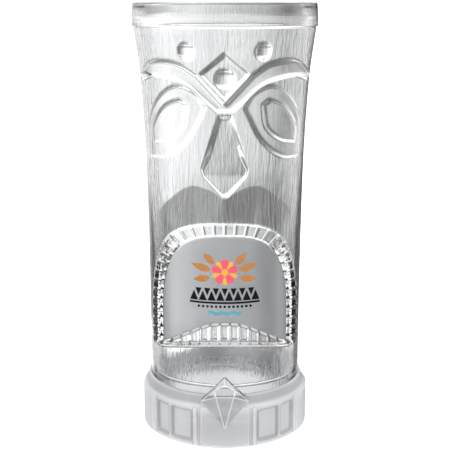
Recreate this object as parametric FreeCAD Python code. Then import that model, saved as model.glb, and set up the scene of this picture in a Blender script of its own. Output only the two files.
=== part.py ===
import FreeCAD, Part
import math
import os

# Light-up tiki tumbler: a clear cup with a tiki face in relief, on a frosted base with a light module.
# Millimetres. +Z is up, the face looks along -Y, and the origin is the centre of the foot on the table.

# ---- driving dimensions: cup ----
CUP_HEIGHT = 180.0
RIM_HEIGHT = 9.6
RIM_RADIUS = 38.4          # outer radius at the rim band's lower edge
RIM_TOP_RADIUS = 37.9
RIM_INNER_TOP_RADIUS = 35.7
RIM_CHAMFER = 0.5
LIP_ROUND = 0.4
CUP_WALL = 2.3
FLOOR_TOP = 16.2
FLOOR_THICKNESS = 2.5
FLOOR_FILLET = 3.0
CUP_BOTTOM_RADIUS = 32.0
CUP_OUTLINE = [(32.0, 24.0), (32.3, 75.0), (33.15, 118.0), (35.0, 150.0), (37.6, 170.4)]   # radius, height

# ---- driving dimensions: face relief, as heights over the cup's wall ----
BROW_RELIEF = 1.2
DIAMOND_RELIEF = 1.5
NOSE_RELIEF = 2.2
BEVEL_STEP = 0.9           # height of the step round the diamond and the nose
BEVEL_WIDTH = 1.2
BEAD_RADIUS = 3.8
BEAD_RELIEF = 1.5
BEAD_SIDE = 14.7           # the two side beads stand this far from the middle
BEAD_LEVEL = 161.7
DIAMOND_BEAD_RADIUS = 4.2
DIAMOND_BEAD_LEVEL = 151.5
EYE_RELIEF = 0.6
PUPIL_RELIEF = 1.3
JAW_RELIEF = 0.8
TEETH_RELIEF = 0.2
MOUTH_DEPTH = 0.8
RELIEF_ROOT = 0.6          # how deep a raised feature is rooted in the wall
TOOTH_GAP = 0.6
ARCH_TEETH = 36
ARCH_GAP_LENGTH = 14.0
LOWER_TEETH = 13
LOWER_TEETH_HALF_WIDTH = 26.0
LOWER_GAP_LENGTH = 30.0
LOWER_GAP_LEVEL = 45.0
MOUTH_POWER = 2.9          # superellipse power of the mouth's arch
MOUTH_SPRING = 50.0        # height where the arch starts
MOUTH_BOTTOM = 34.0
MOUTH_LOW_LEVEL = 44.3     # lower line of the mouth in the middle
MOUTH_LOW_FALL = 4.9       # how far that line falls
MOUTH_LOW_REACH = 27.0     # over this distance from the middle
MOUTH_HALF_WIDTH = 30.6
MOUTH_RISE = 44.6
PANEL_HALF_WIDTH = 26.4
PANEL_RISE = 39.0
JAW_HALF_WIDTH = 31.2
JAW_SIDE_TOP = 76.0
JAW_MIDDLE_TOP = 104.0
JAW_BOTTOM = 26.0

# ---- face outlines in the front view: x from the middle, z over the table ----
BROW_TOP = [(10.2, 153.4), (16.5, 157.4), (23.5, 158.7), (29.5, 157.6), (34.4, 152.8)]
BROW_LOW = [(34.4, 148.9), (28.0, 151.2), (20.5, 150.4), (14.5, 148.2), (8.5, 142.9), (3.2, 138.3)]
BROW_MIDDLE = [(0, 138.0), (0, 142.4)]
DIAMOND = [(0, 161.8), (10.2, 153.2), (0, 142.2), (-10.2, 153.2)]
NOSE = [(-3.0, 137.9), (3.0, 137.9), (9.3, 115.9), (8.4, 113.2), (1.3, 105.4), (-1.3, 105.4),
        (-8.4, 113.2), (-9.3, 115.9)]
LID_TOP = [(6.8, 140.0), (10.5, 146.2), (18.2, 149.3), (25.5, 145.0), (30.2, 135.0), (30.6, 118.4)]
LID_LOW = [(30.6, 118.4), (22.0, 119.6), (13.5, 126.8), (6.8, 140.0)]
PUPIL_TOP = [(13.4, 141.6), (17.2, 143.8), (23.5, 140.6), (27.7, 132.6), (27.4, 124.8)]
PUPIL_LOW = [(27.4, 124.8), (20.5, 126.8), (14.8, 132.4), (13.4, 141.6)]
CHEEK = [(0, JAW_MIDDLE_TOP), (6.0, 107.8), (13.5, 109.2), (21.0, 103.8), (28.2, 94.2),
         (JAW_HALF_WIDTH, JAW_SIDE_TOP)]
LOWER_TEETH_TOP = [(-LOWER_TEETH_HALF_WIDTH, 41.4), (-15.8, 47.8), (-7.4, 52.0), (0, 52.9),
                   (7.4, 52.0), (15.8, 47.8), (LOWER_TEETH_HALF_WIDTH, 41.4)]
LOWER_TEETH_ROOT = 30.0

# ---- driving dimensions: base shell ----
BASE_RADIUS = 35.0
BASE_EDGE = 17.6           # height where the wall ends and the shoulder starts
BASE_HEIGHT = 22.6
SHOULDER_RADIUS = 32.8
BASE_INNER_RADIUS = 33.0
BASE_BORE_RADIUS = 32.1    # the socket that the cup stands in
FLANGE_RADIUS = 24.5
FLANGE_BOTTOM = 10.2
FLANGE_TOP = 11.3
FOOT_CHAMFER = 0.6
EDGE_BEVEL = 0.5           # between the wall and the shoulder
BLOCK_PROUD = 0.7
BLOCK_ROOT = 1.0           # how deep a block is rooted in the wall
BLOCK_TOP = 18.6
FRONT_BLOCK_HALF_ANGLE = 17.0
SIDE_BLOCK_HALF_ANGLE = 31.0
POST_ANGLES = [20.5, 57.0]
POST_HALF_ANGLE = 1.6
POST_PROUD = 0.4
PANEL_ANGLES = [(23.0, 39.5), (42.0, 54.5)]
PANEL_DEPTH = 0.6
PANEL_FLOOR = 2.0
PANEL_CEILING = 15.8
GEM_HALF_WIDTH = 9.9
GEM_TOP = 31.0
GEM_MIDDLE = 21.2
GEM_BOTTOM = 8.7
GEM_BACK = 33.6
GEM_EDGE = 36.0
GEM_FRONT = 38.0
GEM_TABLE = {"peak": (0, 28.6), "right": (4.4, 26.4), "foot_right": (3.6, 23.4), "foot_left": (-3.6, 23.4),
             "left": (-4.4, 26.4)}

# ---- driving dimensions: light module ----
COVER_RADIUS = 32.7
COVER_BOTTOM = 1.4
COVER_TOP = 3.4
DIFFUSER_RADIUS = 29.4
DIFFUSER_THICKNESS = 1.4
DIFFUSER_CHAMFER = 0.3
BOSS_RADIUS = 2.6
BOSS_CIRCLE = 27.5
BOSS_ANGLES = [30.0, 150.0, 270.0]
SCREW_RADIUS = 0.97
SCREW_CLEARANCE = 0.18
SCREW_HEAD_RADIUS = 1.9
SCREW_HEAD_HEIGHT = 0.9
SCREW_LENGTH = 5.6
SCREW_RECESS_DEPTH = 0.5
RECESS_WIDTH = 0.32        # arms of a cross recess, as shares of the head's radius
RECESS_REACH = 0.7
PILOT_RADIUS = 1.0
COUNTERBORE_RADIUS = 2.2
COUNTERBORE_DEPTH = 1.0
BOARD_BOTTOM = 8.0
BOARD_THICKNESS = 1.0
BOARD_HALF_WIDTH = 19.0
BOARD_FRONT = -24.0
BOARD_BACK = 0.4
BOARD_EDGE_RADIUS = 29.0
BOARD_HOLE_RADIUS = 0.9
BOARD_SCREWS = [(-15.0, -20.5), (15.0, -20.5)]
BOARD_SCREW_RADIUS = 0.7
BOARD_HEAD_RADIUS = 1.6
BOARD_HEAD_HEIGHT = 0.8
BOARD_RECESS_DEPTH = 0.4
BOARD_SCREW_PLAY = 0.03
BOARD_SCREW_END = 0.6      # tip of the screw over the cover
BOARD_PILOT_END = 0.4
POST_RADIUS = 2.2
LED_SIZE = 5.0
LED_HEIGHT = 1.6
LED_LENS_RADIUS = 2.0
LED_LENS_DEPTH = 0.4
LED_PLACES = {"led_red": (-11.0, -11.0), "led_green": (0.0, -6.0), "led_blue": (11.0, -11.0)}
CHIP_LEFT = 3.0
CHIP_RIGHT = 8.0
CHIP_FRONT = -20.0
CHIP_BACK = -16.0
CHIP_STANDOFF = 0.1
CHIP_HEIGHT = 1.5
LEG_COUNT = 4
LEG_PITCH = 1.27
LEG_INSET = 0.4
LEG_WIDTH = 0.4
LEG_THICKNESS = 0.3
LEG_REACH = 1.0
RESISTOR_PLACES = [-11.0, -7.5, -4.0]
RESISTOR_FRONT = -19.0
RESISTOR_LENGTH = 2.0
RESISTOR_WIDTH = 1.25
RESISTOR_HEIGHT = 0.6

# ---- driving dimensions: button and switch ----
BUTTON_Y = -12.0
BUTTON_RADIUS = 5.0
BUTTON_BOTTOM = 0.9
BUTTON_HOLE_CLEARANCE = 0.25
BUTTON_FLANGE_RADIUS = 6.2
BUTTON_FLANGE_BOTTOM = 3.5
BUTTON_FLANGE_TOP = 4.1
BUTTON_NUB_RADIUS = 1.2
BUTTON_DISH_RADIUS = 20.0
BUTTON_DISH_DEPTH = 0.35
SWITCH_SIZE = 6.0
SWITCH_BOTTOM = 5.6
PLUNGER_RADIUS = 1.75
PLUNGER_BOTTOM = 4.7
PLUNGER_TOP = 6.6
PLUNGER_CLEARANCE = 0.1
PLUNGER_ROOM = 0.7
PRESS_GAP = 0.05

# ---- driving dimensions: battery bay, two 20 mm coin cells ----
BAY_Y = 12.5
CELL_RADIUS = 10.0
CELL_THICKNESS = 3.2
CELL_BOTTOM = 3.7
CELL_LID_INSET = 1.2
CELL_LID_STEP = 0.5
BAY_RADIUS = 10.4
BAY_WALL = 1.2
BAY_ROOF = 0.9
BAY_HEADROOM = 0.3
CAP_RADIUS = 12.0
CAP_TOP = 3.15
CAP_CLEARANCE = 0.15
CAP_PLUG_RADIUS = 9.8
CAP_PLUG_GAP = 0.15        # between the plug and the lower cell
LUG_RADIUS = 13.2
LUG_BOTTOM = 2.3
LUG_TOP = 3.0
LUG_WIDTH = 30.0           # degrees
LUG_COUNT = 3
CAP_TURN = 45.0            # degrees between locked and unlocked
LUG_PLAY = 2.0             # degrees
COLLAR_RADIUS = 15.0
COLLAR_TOP = 5.0
SEAL_INNER_RADIUS = 10.7
SEAL_OUTER_RADIUS = 11.8
SEAL_HEIGHT = 0.4
SEAL_GAP = 0.05            # between the turning cap and the seal
SEAL_PLAY = 0.1
COIN_SLOT_WIDTH = 2.0
COIN_SLOT_HALF_LENGTH = 9.0
COIN_SLOT_DEPTH = 0.9
CONTACT_THICKNESS = 0.25
CONTACT_WIDTH = 3.0
CONTACT_TOUCH = 0.02
CONTACT_OFFSET = 1.0       # each contact starts this far to its side of the middle
CONTACT_FOOT = 4.1         # lower end of the strip beside the cells
CONTACT_PLAY = 0.1
CONTACT_STANDOFF = 0.6     # from the bay's wall to the bent-down leg
CONTACT_REACH = -2.6       # where the contacts' tabs end on the board
CONTACT_FINGER = 1.0       # how far the upper contact passes the cells' middle

EPS = 0.01
OVERCUT = 1.0              # how far a cutting tool passes the face that it cuts
REACH = 60.0               # longer than anything the tools cut through

V = FreeCAD.Vector
UP = V(0, 0, 1)


# ---- helpers ----
def cylinder(radius, low, high, x=0.0, y=0.0):
    return Part.makeCylinder(radius, high - low, V(x, y, low))


def box(x_low, x_high, y_low, y_high, z_low, z_high):
    return Part.makeBox(x_high - x_low, y_high - y_low, z_high - z_low, V(x_low, y_low, z_low))


def ring(outer, inner, low, high, x=0.0, y=0.0):
    return cylinder(outer, low, high, x, y).cut(cylinder(inner, low - OVERCUT, high + OVERCUT, x, y))


def sector(radius, low, high, start, end, x=0.0, y=0.0):
    """Pie slice from start to end, in degrees from +X."""
    slice_ = Part.makeCylinder(radius, high - low, V(0, 0, low), UP, end - start)
    slice_.rotate(V(0, 0, 0), UP, start)
    slice_.translate(V(x, y, 0))
    return slice_


def revolve(edges):
    """Solid of revolution about Z from edges drawn in the half-plane behind the cup (x = 0, y > 0)."""
    face = Part.Face(Part.Wire(Part.__sortEdges__(edges)))
    return face.revolve(V(0, 0, 0), UP, 360)


def profile_lines(points):
    spots = [V(0, radius, height) for radius, height in points]
    return [Part.LineSegment(a, b).toShape() for a, b in zip(spots, spots[1:])]


def profile_curve(points):
    curve = Part.BSplineCurve()
    curve.interpolate([V(0, radius, height) for radius, height in points])
    return curve.toShape()


def front_lines(points):
    spots = [V(x, 0, z) for x, z in points]
    return [Part.LineSegment(a, b).toShape() for a, b in zip(spots, spots[1:])]


def front_curve(points):
    curve = Part.BSplineCurve()
    curve.interpolate([V(x, 0, z) for x, z in points])
    return curve.toShape()


def front_prism(edges):
    """A closed front-view outline pushed forwards, along the pull of the mould."""
    face = Part.Face(Part.Wire(Part.__sortEdges__(edges)))
    return face.extrude(V(0, -REACH, 0))


def mirrored(shape):
    return shape.mirror(V(0, 0, 0), V(1, 0, 0))


def wall_skin(below, above):
    """The layer from below under to above over the cup's outer wall."""
    inner = [(radius - below, height) for radius, height in CUP_OUTLINE]
    outer = [(radius + above, height) for radius, height in CUP_OUTLINE]
    ends = profile_lines([inner[0], outer[0]]) + profile_lines([inner[-1], outer[-1]])
    return revolve(ends + [profile_curve(inner), profile_curve(outer)])


def raised(prism, height):
    return prism.common(wall_skin(RELIEF_ROOT, height))


# ---- cup ----
def cup_body():
    inner = [(radius - CUP_WALL, height) for radius, height in CUP_OUTLINE]
    floor_bottom = FLOOR_TOP - FLOOR_THICKNESS
    skirt = CUP_BOTTOM_RADIUS - CUP_WALL
    rim_low = CUP_HEIGHT - RIM_HEIGHT
    under = profile_lines([
        (0, FLOOR_TOP), (0, floor_bottom), (skirt, floor_bottom), (skirt, FLANGE_TOP),
        (CUP_BOTTOM_RADIUS, FLANGE_TOP), CUP_OUTLINE[0]])
    rim = profile_lines([
        CUP_OUTLINE[-1], (RIM_RADIUS - RIM_CHAMFER, rim_low), (RIM_RADIUS, rim_low + RIM_CHAMFER),
        (RIM_TOP_RADIUS, CUP_HEIGHT - LIP_ROUND), (RIM_TOP_RADIUS - LIP_ROUND, CUP_HEIGHT),
        (RIM_INNER_TOP_RADIUS + LIP_ROUND, CUP_HEIGHT), (RIM_INNER_TOP_RADIUS, CUP_HEIGHT - LIP_ROUND),
        inner[-1]])
    centre = skirt - FLOOR_FILLET
    middle = FLOOR_FILLET * (1 - math.sqrt(0.5))
    corner = Part.Arc(
        V(0, skirt, FLOOR_TOP + FLOOR_FILLET), V(0, skirt - middle, FLOOR_TOP + middle),
        V(0, centre, FLOOR_TOP)).toShape()
    floor = profile_lines([(centre, FLOOR_TOP), (0, FLOOR_TOP)])
    lower_wall = profile_lines([inner[0], (skirt, FLOOR_TOP + FLOOR_FILLET)])
    walls = [profile_curve(CUP_OUTLINE), profile_curve(inner), corner]
    return revolve(under + rim + walls + lower_wall + floor)


def brow():
    """Ribbon that dips under the diamond and arches over both eyes."""
    inner_vee = front_lines([BROW_MIDDLE[-1], BROW_TOP[0]])
    side = front_lines([BROW_TOP[-1], BROW_LOW[0]])
    middle = front_lines([BROW_LOW[-1]] + BROW_MIDDLE)
    half = front_prism(inner_vee + [front_curve(BROW_TOP), front_curve(BROW_LOW)] + side + middle)
    return raised(half.fuse(mirrored(half)).removeSplitter(), BROW_RELIEF)


def stepped(outline, height):
    """A polygon raised in two steps, with the upper one set in by the bevel's width."""
    wire = Part.makePolygon([V(x, 0, z) for x, z in outline + outline[:1]])
    face = Part.Face(wire)
    inset = Part.Face(wire.makeOffset2D(-BEVEL_WIDTH))
    if inset.Area > face.Area:
        inset = Part.Face(wire.makeOffset2D(BEVEL_WIDTH))
    lower = raised(face.extrude(V(0, -REACH, 0)), height - BEVEL_STEP)
    upper = raised(inset.extrude(V(0, -REACH, 0)), height)
    return lower.fuse(upper)


def wall_radius(height):
    """Outer radius of the cup's wall at a height."""
    curve = Part.BSplineCurve()
    curve.interpolate([V(0, radius, level) for radius, level in CUP_OUTLINE])
    low, high = curve.FirstParameter, curve.LastParameter
    for _ in range(40):
        middle = (low + high) / 2
        if curve.value(middle).z < height:
            low = middle
        else:
            high = middle
    return curve.value(low).y


def bead(x, z, radius, relief):
    """Shallow dome whose edge is a circle of the given radius on the wall."""
    ball = (radius ** 2 + relief ** 2) / (2 * relief)
    around = wall_radius(z)
    depth = around + relief - ball
    angle = math.asin(x / around)
    return Part.makeSphere(ball, V(depth * math.sin(angle), -depth * math.cos(angle), z))


def beads():
    return [bead(-BEAD_SIDE, BEAD_LEVEL, BEAD_RADIUS, BEAD_RELIEF),
            bead(BEAD_SIDE, BEAD_LEVEL, BEAD_RADIUS, BEAD_RELIEF),
            bead(0, DIAMOND_BEAD_LEVEL, DIAMOND_BEAD_RADIUS, DIAMOND_RELIEF + BEAD_RELIEF)]


def eye():
    """Leaf-shaped eye with a second leaf on it, on the right-hand side."""
    lid = raised(front_prism([front_curve(LID_TOP), front_curve(LID_LOW)]), EYE_RELIEF)
    pupil = raised(front_prism([front_curve(PUPIL_TOP), front_curve(PUPIL_LOW)]), PUPIL_RELIEF)
    return lid.fuse(pupil)


def jaw():
    """Grained muzzle round the mouth, from two humps beside the nose down to the base."""
    side = front_lines([(JAW_HALF_WIDTH, JAW_SIDE_TOP), (JAW_HALF_WIDTH, JAW_BOTTOM), (0, JAW_BOTTOM),
                        (0, JAW_MIDDLE_TOP)])
    half = front_prism([front_curve(CHEEK)] + side)
    return raised(half.fuse(mirrored(half)).removeSplitter(), JAW_RELIEF)


def arch_point(half_width, rise, turn):
    """Point of the mouth's arch; turn goes from 0 on the right to pi on the left."""
    power = 2 / MOUTH_POWER
    x = half_width * math.copysign(abs(math.cos(turn)) ** power, math.cos(turn))
    return x, MOUTH_SPRING + rise * math.sin(turn) ** power


def arch_prism(half_width, rise):
    steps = 24
    points = [arch_point(half_width, rise, math.pi * step / steps) for step in range(steps + 1)]
    points[-1] = (-half_width, MOUTH_SPRING)
    sides = front_lines([points[-1], (-half_width, MOUTH_BOTTOM), (half_width, MOUTH_BOTTOM), points[0]])
    return front_prism([front_curve(points)] + sides)


def lower_edge(x):
    """Height of the arched line that closes the mouth below."""
    return MOUTH_LOW_LEVEL - MOUTH_LOW_FALL * (x / MOUTH_LOW_REACH) ** 2


def below_mouth():
    """Everything under the mouth's lower line."""
    half = MOUTH_HALF_WIDTH + BEVEL_WIDTH
    line = front_curve([(x, lower_edge(x)) for x in (-half, -half / 2, 0, half / 2, half)])
    rest = front_lines([(half, lower_edge(half)), (half, 0), (-half, 0), (-half, lower_edge(half))])
    return front_prism([line] + rest)


def bar(x, z, angle, length, width):
    """Thin upright plate across a row of teeth, turned in the front view."""
    plate = box(-length / 2, length / 2, -REACH, 0, -width / 2, width / 2)
    plate.rotate(V(0, 0, 0), V(0, -1, 0), angle)
    plate.translate(V(x, 0, z))
    return plate


def arch_gaps():
    """Gaps between the teeth, spaced evenly along the middle of the arch."""
    half_width = (MOUTH_HALF_WIDTH + PANEL_HALF_WIDTH) / 2
    rise = (MOUTH_RISE + PANEL_RISE) / 2
    fine = 400
    path = [(half_width, MOUTH_BOTTOM)]
    path += [arch_point(half_width, rise, math.pi * step / fine) for step in range(fine + 1)]
    path += [(-half_width, MOUTH_BOTTOM)]
    lengths = [math.dist(a, b) for a, b in zip(path, path[1:])]
    pitch = sum(lengths) / ARCH_TEETH
    gaps = []
    travelled = 0.0
    for a, b, length in zip(path, path[1:], lengths):
        while travelled + length >= pitch * (len(gaps) + 1) and len(gaps) < ARCH_TEETH - 1:
            share = (pitch * (len(gaps) + 1) - travelled) / length
            x = a[0] + (b[0] - a[0]) * share
            z = a[1] + (b[1] - a[1]) * share
            across = math.degrees(math.atan2(b[1] - a[1], b[0] - a[0])) + 90
            gaps.append(bar(x, z, across, ARCH_GAP_LENGTH, TOOTH_GAP))
        travelled += length
    return gaps


def arch_teeth():
    band = arch_prism(MOUTH_HALF_WIDTH, MOUTH_RISE).cut(arch_prism(PANEL_HALF_WIDTH, PANEL_RISE))
    return band.cut(below_mouth()).cut(arch_gaps())


def lower_teeth():
    """Row of teeth that rises to a hump in the middle of the lower jaw."""
    ends = [LOWER_TEETH_TOP[-1], (LOWER_TEETH_HALF_WIDTH, LOWER_TEETH_ROOT),
            (-LOWER_TEETH_HALF_WIDTH, LOWER_TEETH_ROOT), LOWER_TEETH_TOP[0]]
    pitch = 2 * LOWER_TEETH_HALF_WIDTH / LOWER_TEETH
    gaps = [bar(number * pitch - LOWER_TEETH_HALF_WIDTH, LOWER_GAP_LEVEL, 90.0, LOWER_GAP_LENGTH, TOOTH_GAP)
            for number in range(1, LOWER_TEETH)]
    return front_prism([front_curve(LOWER_TEETH_TOP)] + front_lines(ends)).cut(below_mouth()).cut(gaps)


def cup_vessel():
    mouth = arch_prism(MOUTH_HALF_WIDTH, MOUTH_RISE).cut(below_mouth())
    recess = mouth.common(wall_skin(MOUTH_DEPTH, JAW_RELIEF + OVERCUT))
    cup = cup_body().fuse(jaw()).cut(recess)
    right_eye = eye()
    raised_parts = [brow(), right_eye, mirrored(right_eye)] + beads()
    raised_parts += [stepped(DIAMOND, DIAMOND_RELIEF), stepped(NOSE, NOSE_RELIEF)]
    teeth_skin = wall_skin(MOUTH_DEPTH + RELIEF_ROOT, TEETH_RELIEF)
    raised_parts += [arch_teeth().common(teeth_skin), lower_teeth().common(teeth_skin)]
    cup = cup.multiFuse(raised_parts)
    inside = [(radius - CUP_WALL, height) for radius, height in CUP_OUTLINE]
    hollow = revolve(profile_lines([inside[0], (0, inside[0][1]), (0, inside[-1][1]), inside[-1]])
                     + [profile_curve(inside)])
    return cup.cut(hollow).removeSplitter()


# ---- base shell ----
def base_ring():
    return revolve(profile_lines([
        (BASE_INNER_RADIUS, 0), (BASE_RADIUS - FOOT_CHAMFER, 0), (BASE_RADIUS, FOOT_CHAMFER),
        (BASE_RADIUS, BASE_EDGE), (BASE_RADIUS - EDGE_BEVEL, BASE_EDGE + EDGE_BEVEL),
        (SHOULDER_RADIUS, BASE_HEIGHT), (BASE_BORE_RADIUS, BASE_HEIGHT), (BASE_BORE_RADIUS, FLANGE_TOP),
        (FLANGE_RADIUS, FLANGE_TOP), (FLANGE_RADIUS, FLANGE_BOTTOM), (BASE_INNER_RADIUS, FLANGE_BOTTOM),
        (BASE_INNER_RADIUS, 0)]))


def wall_slice(inner, outer, low, high, middle, half_angle):
    """Block of the base's wall, middle degrees round from the front."""
    start = middle - half_angle - 90
    piece = sector(outer, low, high, start, start + 2 * half_angle)
    return piece.cut(cylinder(inner, low - OVERCUT, high + OVERCUT))


def base_blocks():
    root = BASE_RADIUS - BLOCK_ROOT
    proud = BASE_RADIUS + BLOCK_PROUD
    blocks = []
    for middle in (0, 180):
        blocks.append(wall_slice(root, proud, FOOT_CHAMFER, BLOCK_TOP, middle, FRONT_BLOCK_HALF_ANGLE))
        blocks.append(wall_slice(root, proud, FOOT_CHAMFER, BASE_EDGE, middle + 90, SIDE_BLOCK_HALF_ANGLE))
    post_outer = BASE_RADIUS + POST_PROUD
    for side in (1, -1):
        for offset in (0, 180):
            for angle in POST_ANGLES:
                middle = offset + side * angle
                blocks.append(wall_slice(root, post_outer, FOOT_CHAMFER, BASE_EDGE, middle, POST_HALF_ANGLE))
    return blocks


def base_panels():
    panels = []
    panel_inner = BASE_RADIUS - PANEL_DEPTH
    for side in (1, -1):
        for offset in (0, 180):
            for start, end in PANEL_ANGLES:
                middle = offset + side * (start + end) / 2
                half = (end - start) / 2
                panels.append(wall_slice(
                    panel_inner, BASE_RADIUS + OVERCUT, PANEL_FLOOR, PANEL_CEILING, middle, half))
    return panels


def polyhedron(points, faces):
    skins = []
    for face in faces:
        corners = [points[name] for name in face]
        skins.append(Part.Face(Part.makePolygon(corners + corners[:1])))
    solid = Part.Solid(Part.makeShell(skins))
    if solid.Volume < 0:
        solid.reverse()
    return solid


def gem():
    """Cut stone on the front block: a kite outline with a small five-sided table near its top."""
    outline = {"top": (0, GEM_TOP), "east": (GEM_HALF_WIDTH, GEM_MIDDLE), "bottom": (0, GEM_BOTTOM),
               "west": (-GEM_HALF_WIDTH, GEM_MIDDLE)}
    points = {name: V(x, -GEM_FRONT, z) for name, (x, z) in GEM_TABLE.items()}
    points.update({"edge_" + name: V(x, -GEM_EDGE, z) for name, (x, z) in outline.items()})
    points.update({"back_" + name: V(x, -GEM_BACK, z) for name, (x, z) in outline.items()})
    faces = [["peak", "right", "foot_right", "foot_left", "left"],
             ["back_top", "back_west", "back_bottom", "back_east"],
             ["edge_top", "edge_east", "right"], ["edge_top", "right", "peak"],
             ["edge_east", "foot_right", "right"], ["edge_east", "edge_bottom", "foot_right"],
             ["edge_bottom", "foot_left", "foot_right"], ["edge_bottom", "edge_west", "foot_left"],
             ["edge_west", "left", "foot_left"], ["edge_west", "edge_top", "left"],
             ["edge_top", "peak", "left"]]
    for start, end in (("top", "east"), ("east", "bottom"), ("bottom", "west"), ("west", "top")):
        faces.append(["edge_" + start, "edge_" + end, "back_" + end, "back_" + start])
    return polyhedron(points, faces)


def boss_places():
    return [(BOSS_CIRCLE * math.cos(math.radians(angle)), BOSS_CIRCLE * math.sin(math.radians(angle)))
            for angle in BOSS_ANGLES]


def base_shell():
    shell = base_ring()
    shell = shell.multiFuse(base_blocks() + [gem()])
    shell = shell.cut(base_panels())
    bosses = [cylinder(BOSS_RADIUS, COVER_TOP, FLANGE_TOP, x, y) for x, y in boss_places()]
    shell = shell.multiFuse(bosses)
    pilots = [cylinder(PILOT_RADIUS, COVER_TOP - OVERCUT, COVER_TOP + SCREW_LENGTH, x, y)
              for x, y in boss_places()]
    bore = cylinder(BASE_BORE_RADIUS, FLANGE_TOP, GEM_TOP + OVERCUT)
    return shell.cut(pilots).cut(bore).removeSplitter()


# ---- light module ----
def light_diffuser():
    plate = cylinder(DIFFUSER_RADIUS, FLANGE_TOP, FLANGE_TOP + DIFFUSER_THICKNESS)
    return plate.makeChamfer(DIFFUSER_CHAMFER, plate.Edges[:1])


def bay_roof_bottom():
    return CELL_BOTTOM + 2 * CELL_THICKNESS + BAY_HEADROOM


def seal_bottom():
    return CAP_TOP + SEAL_GAP


def positive_y():
    """Front face of the strip that touches the cells' side."""
    return BAY_Y - CELL_RADIUS - CONTACT_THICKNESS - CONTACT_TOUCH


def lug_angles():
    return [360.0 * number / LUG_COUNT for number in range(LUG_COUNT)]


def lug_track():
    """Room for the cap's lugs: a closed groove for the turn and notches where they come out."""
    cuts = []
    for angle in lug_angles():
        cuts.append(sector(LUG_RADIUS + CAP_CLEARANCE, LUG_BOTTOM - CAP_CLEARANCE, LUG_TOP + CAP_CLEARANCE,
                           angle - LUG_PLAY, angle + CAP_TURN + LUG_WIDTH + LUG_PLAY, 0, BAY_Y))
        cuts.append(sector(LUG_RADIUS + CAP_CLEARANCE, COVER_BOTTOM - OVERCUT, LUG_TOP + CAP_CLEARANCE,
                           angle + CAP_TURN - LUG_PLAY, angle + CAP_TURN + LUG_WIDTH + LUG_PLAY, 0, BAY_Y))
    return cuts


def contact_slots():
    """Openings in the bay's wall and roof that the two contacts pass through."""
    play = CONTACT_PLAY
    roof = bay_roof_bottom()
    front = BAY_Y - BAY_RADIUS - BAY_WALL - OVERCUT
    near = CONTACT_OFFSET - play
    far = CONTACT_OFFSET + CONTACT_WIDTH + play
    strip_back = positive_y() + CONTACT_THICKNESS + play
    return [
        box(-far, -near, front, strip_back, CONTACT_FOOT - play, roof + BAY_ROOF + OVERCUT),
        box(near, far, front, BAY_Y - BAY_RADIUS + 2 * OVERCUT,
            roof - CONTACT_THICKNESS - play, roof + BAY_ROOF + OVERCUT),
    ]


def bottom_cover():
    cover = cylinder(COVER_RADIUS, COVER_BOTTOM, COVER_TOP)
    roof = bay_roof_bottom()
    below = COVER_BOTTOM - OVERCUT
    above = COVER_TOP + OVERCUT
    collar = cylinder(COLLAR_RADIUS, COVER_TOP - EPS, COLLAR_TOP, 0, BAY_Y)
    bay = cylinder(BAY_RADIUS + BAY_WALL, COVER_TOP - EPS, roof + BAY_ROOF, 0, BAY_Y)
    posts = [cylinder(POST_RADIUS, COVER_TOP - EPS, BOARD_BOTTOM, x, y) for x, y in BOARD_SCREWS]
    cover = cover.multiFuse([collar, bay] + posts)
    cuts = [
        cylinder(BAY_RADIUS, below, roof, 0, BAY_Y),
        cylinder(CAP_RADIUS + CAP_CLEARANCE, below, seal_bottom(), 0, BAY_Y),
        ring(SEAL_OUTER_RADIUS + SEAL_PLAY, SEAL_INNER_RADIUS - SEAL_PLAY, CAP_TOP,
             seal_bottom() + SEAL_HEIGHT, 0, BAY_Y),
        cylinder(BUTTON_RADIUS + BUTTON_HOLE_CLEARANCE, below, above, 0, BUTTON_Y),
    ]
    cuts += lug_track() + contact_slots()
    for x, y in boss_places():
        cuts.append(cylinder(SCREW_RADIUS + SCREW_CLEARANCE, below, above, x, y))
        cuts.append(cylinder(COUNTERBORE_RADIUS, below, COVER_BOTTOM + COUNTERBORE_DEPTH, x, y))
    for x, y in BOARD_SCREWS:
        pilot = BOARD_SCREW_RADIUS + BOARD_SCREW_PLAY
        cuts.append(cylinder(pilot, COVER_TOP + BOARD_PILOT_END, BOARD_BOTTOM + OVERCUT, x, y))
    return cover.cut(cuts)


def cross_recess(radius, low, high, x, y):
    width = radius * RECESS_WIDTH
    reach = radius * RECESS_REACH
    return [box(x - reach, x + reach, y - width / 2, y + width / 2, low, high),
            box(x - width / 2, x + width / 2, y - reach, y + reach, low, high)]


def cover_screws():
    screws = []
    under_head = COVER_BOTTOM + COUNTERBORE_DEPTH
    for x, y in boss_places():
        head = cylinder(SCREW_HEAD_RADIUS, under_head - SCREW_HEAD_HEIGHT, under_head, x, y)
        shank = cylinder(SCREW_RADIUS, under_head - EPS, under_head + SCREW_LENGTH, x, y)
        recess_end = under_head - SCREW_HEAD_HEIGHT + SCREW_RECESS_DEPTH
        drive = cross_recess(SCREW_HEAD_RADIUS, 0, recess_end, x, y)
        screws.append(head.fuse(shank).cut(drive))
    return Part.makeCompound(screws)


def circuit_board():
    low = BOARD_BOTTOM
    high = BOARD_BOTTOM + BOARD_THICKNESS
    board = box(-BOARD_HALF_WIDTH, BOARD_HALF_WIDTH, BOARD_FRONT, BOARD_BACK, low, high)
    holes = [cylinder(BOARD_HOLE_RADIUS, low - OVERCUT, high + OVERCUT, x, y) for x, y in BOARD_SCREWS]
    return board.common(cylinder(BOARD_EDGE_RADIUS, low - OVERCUT, high + OVERCUT)).cut(holes)


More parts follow.
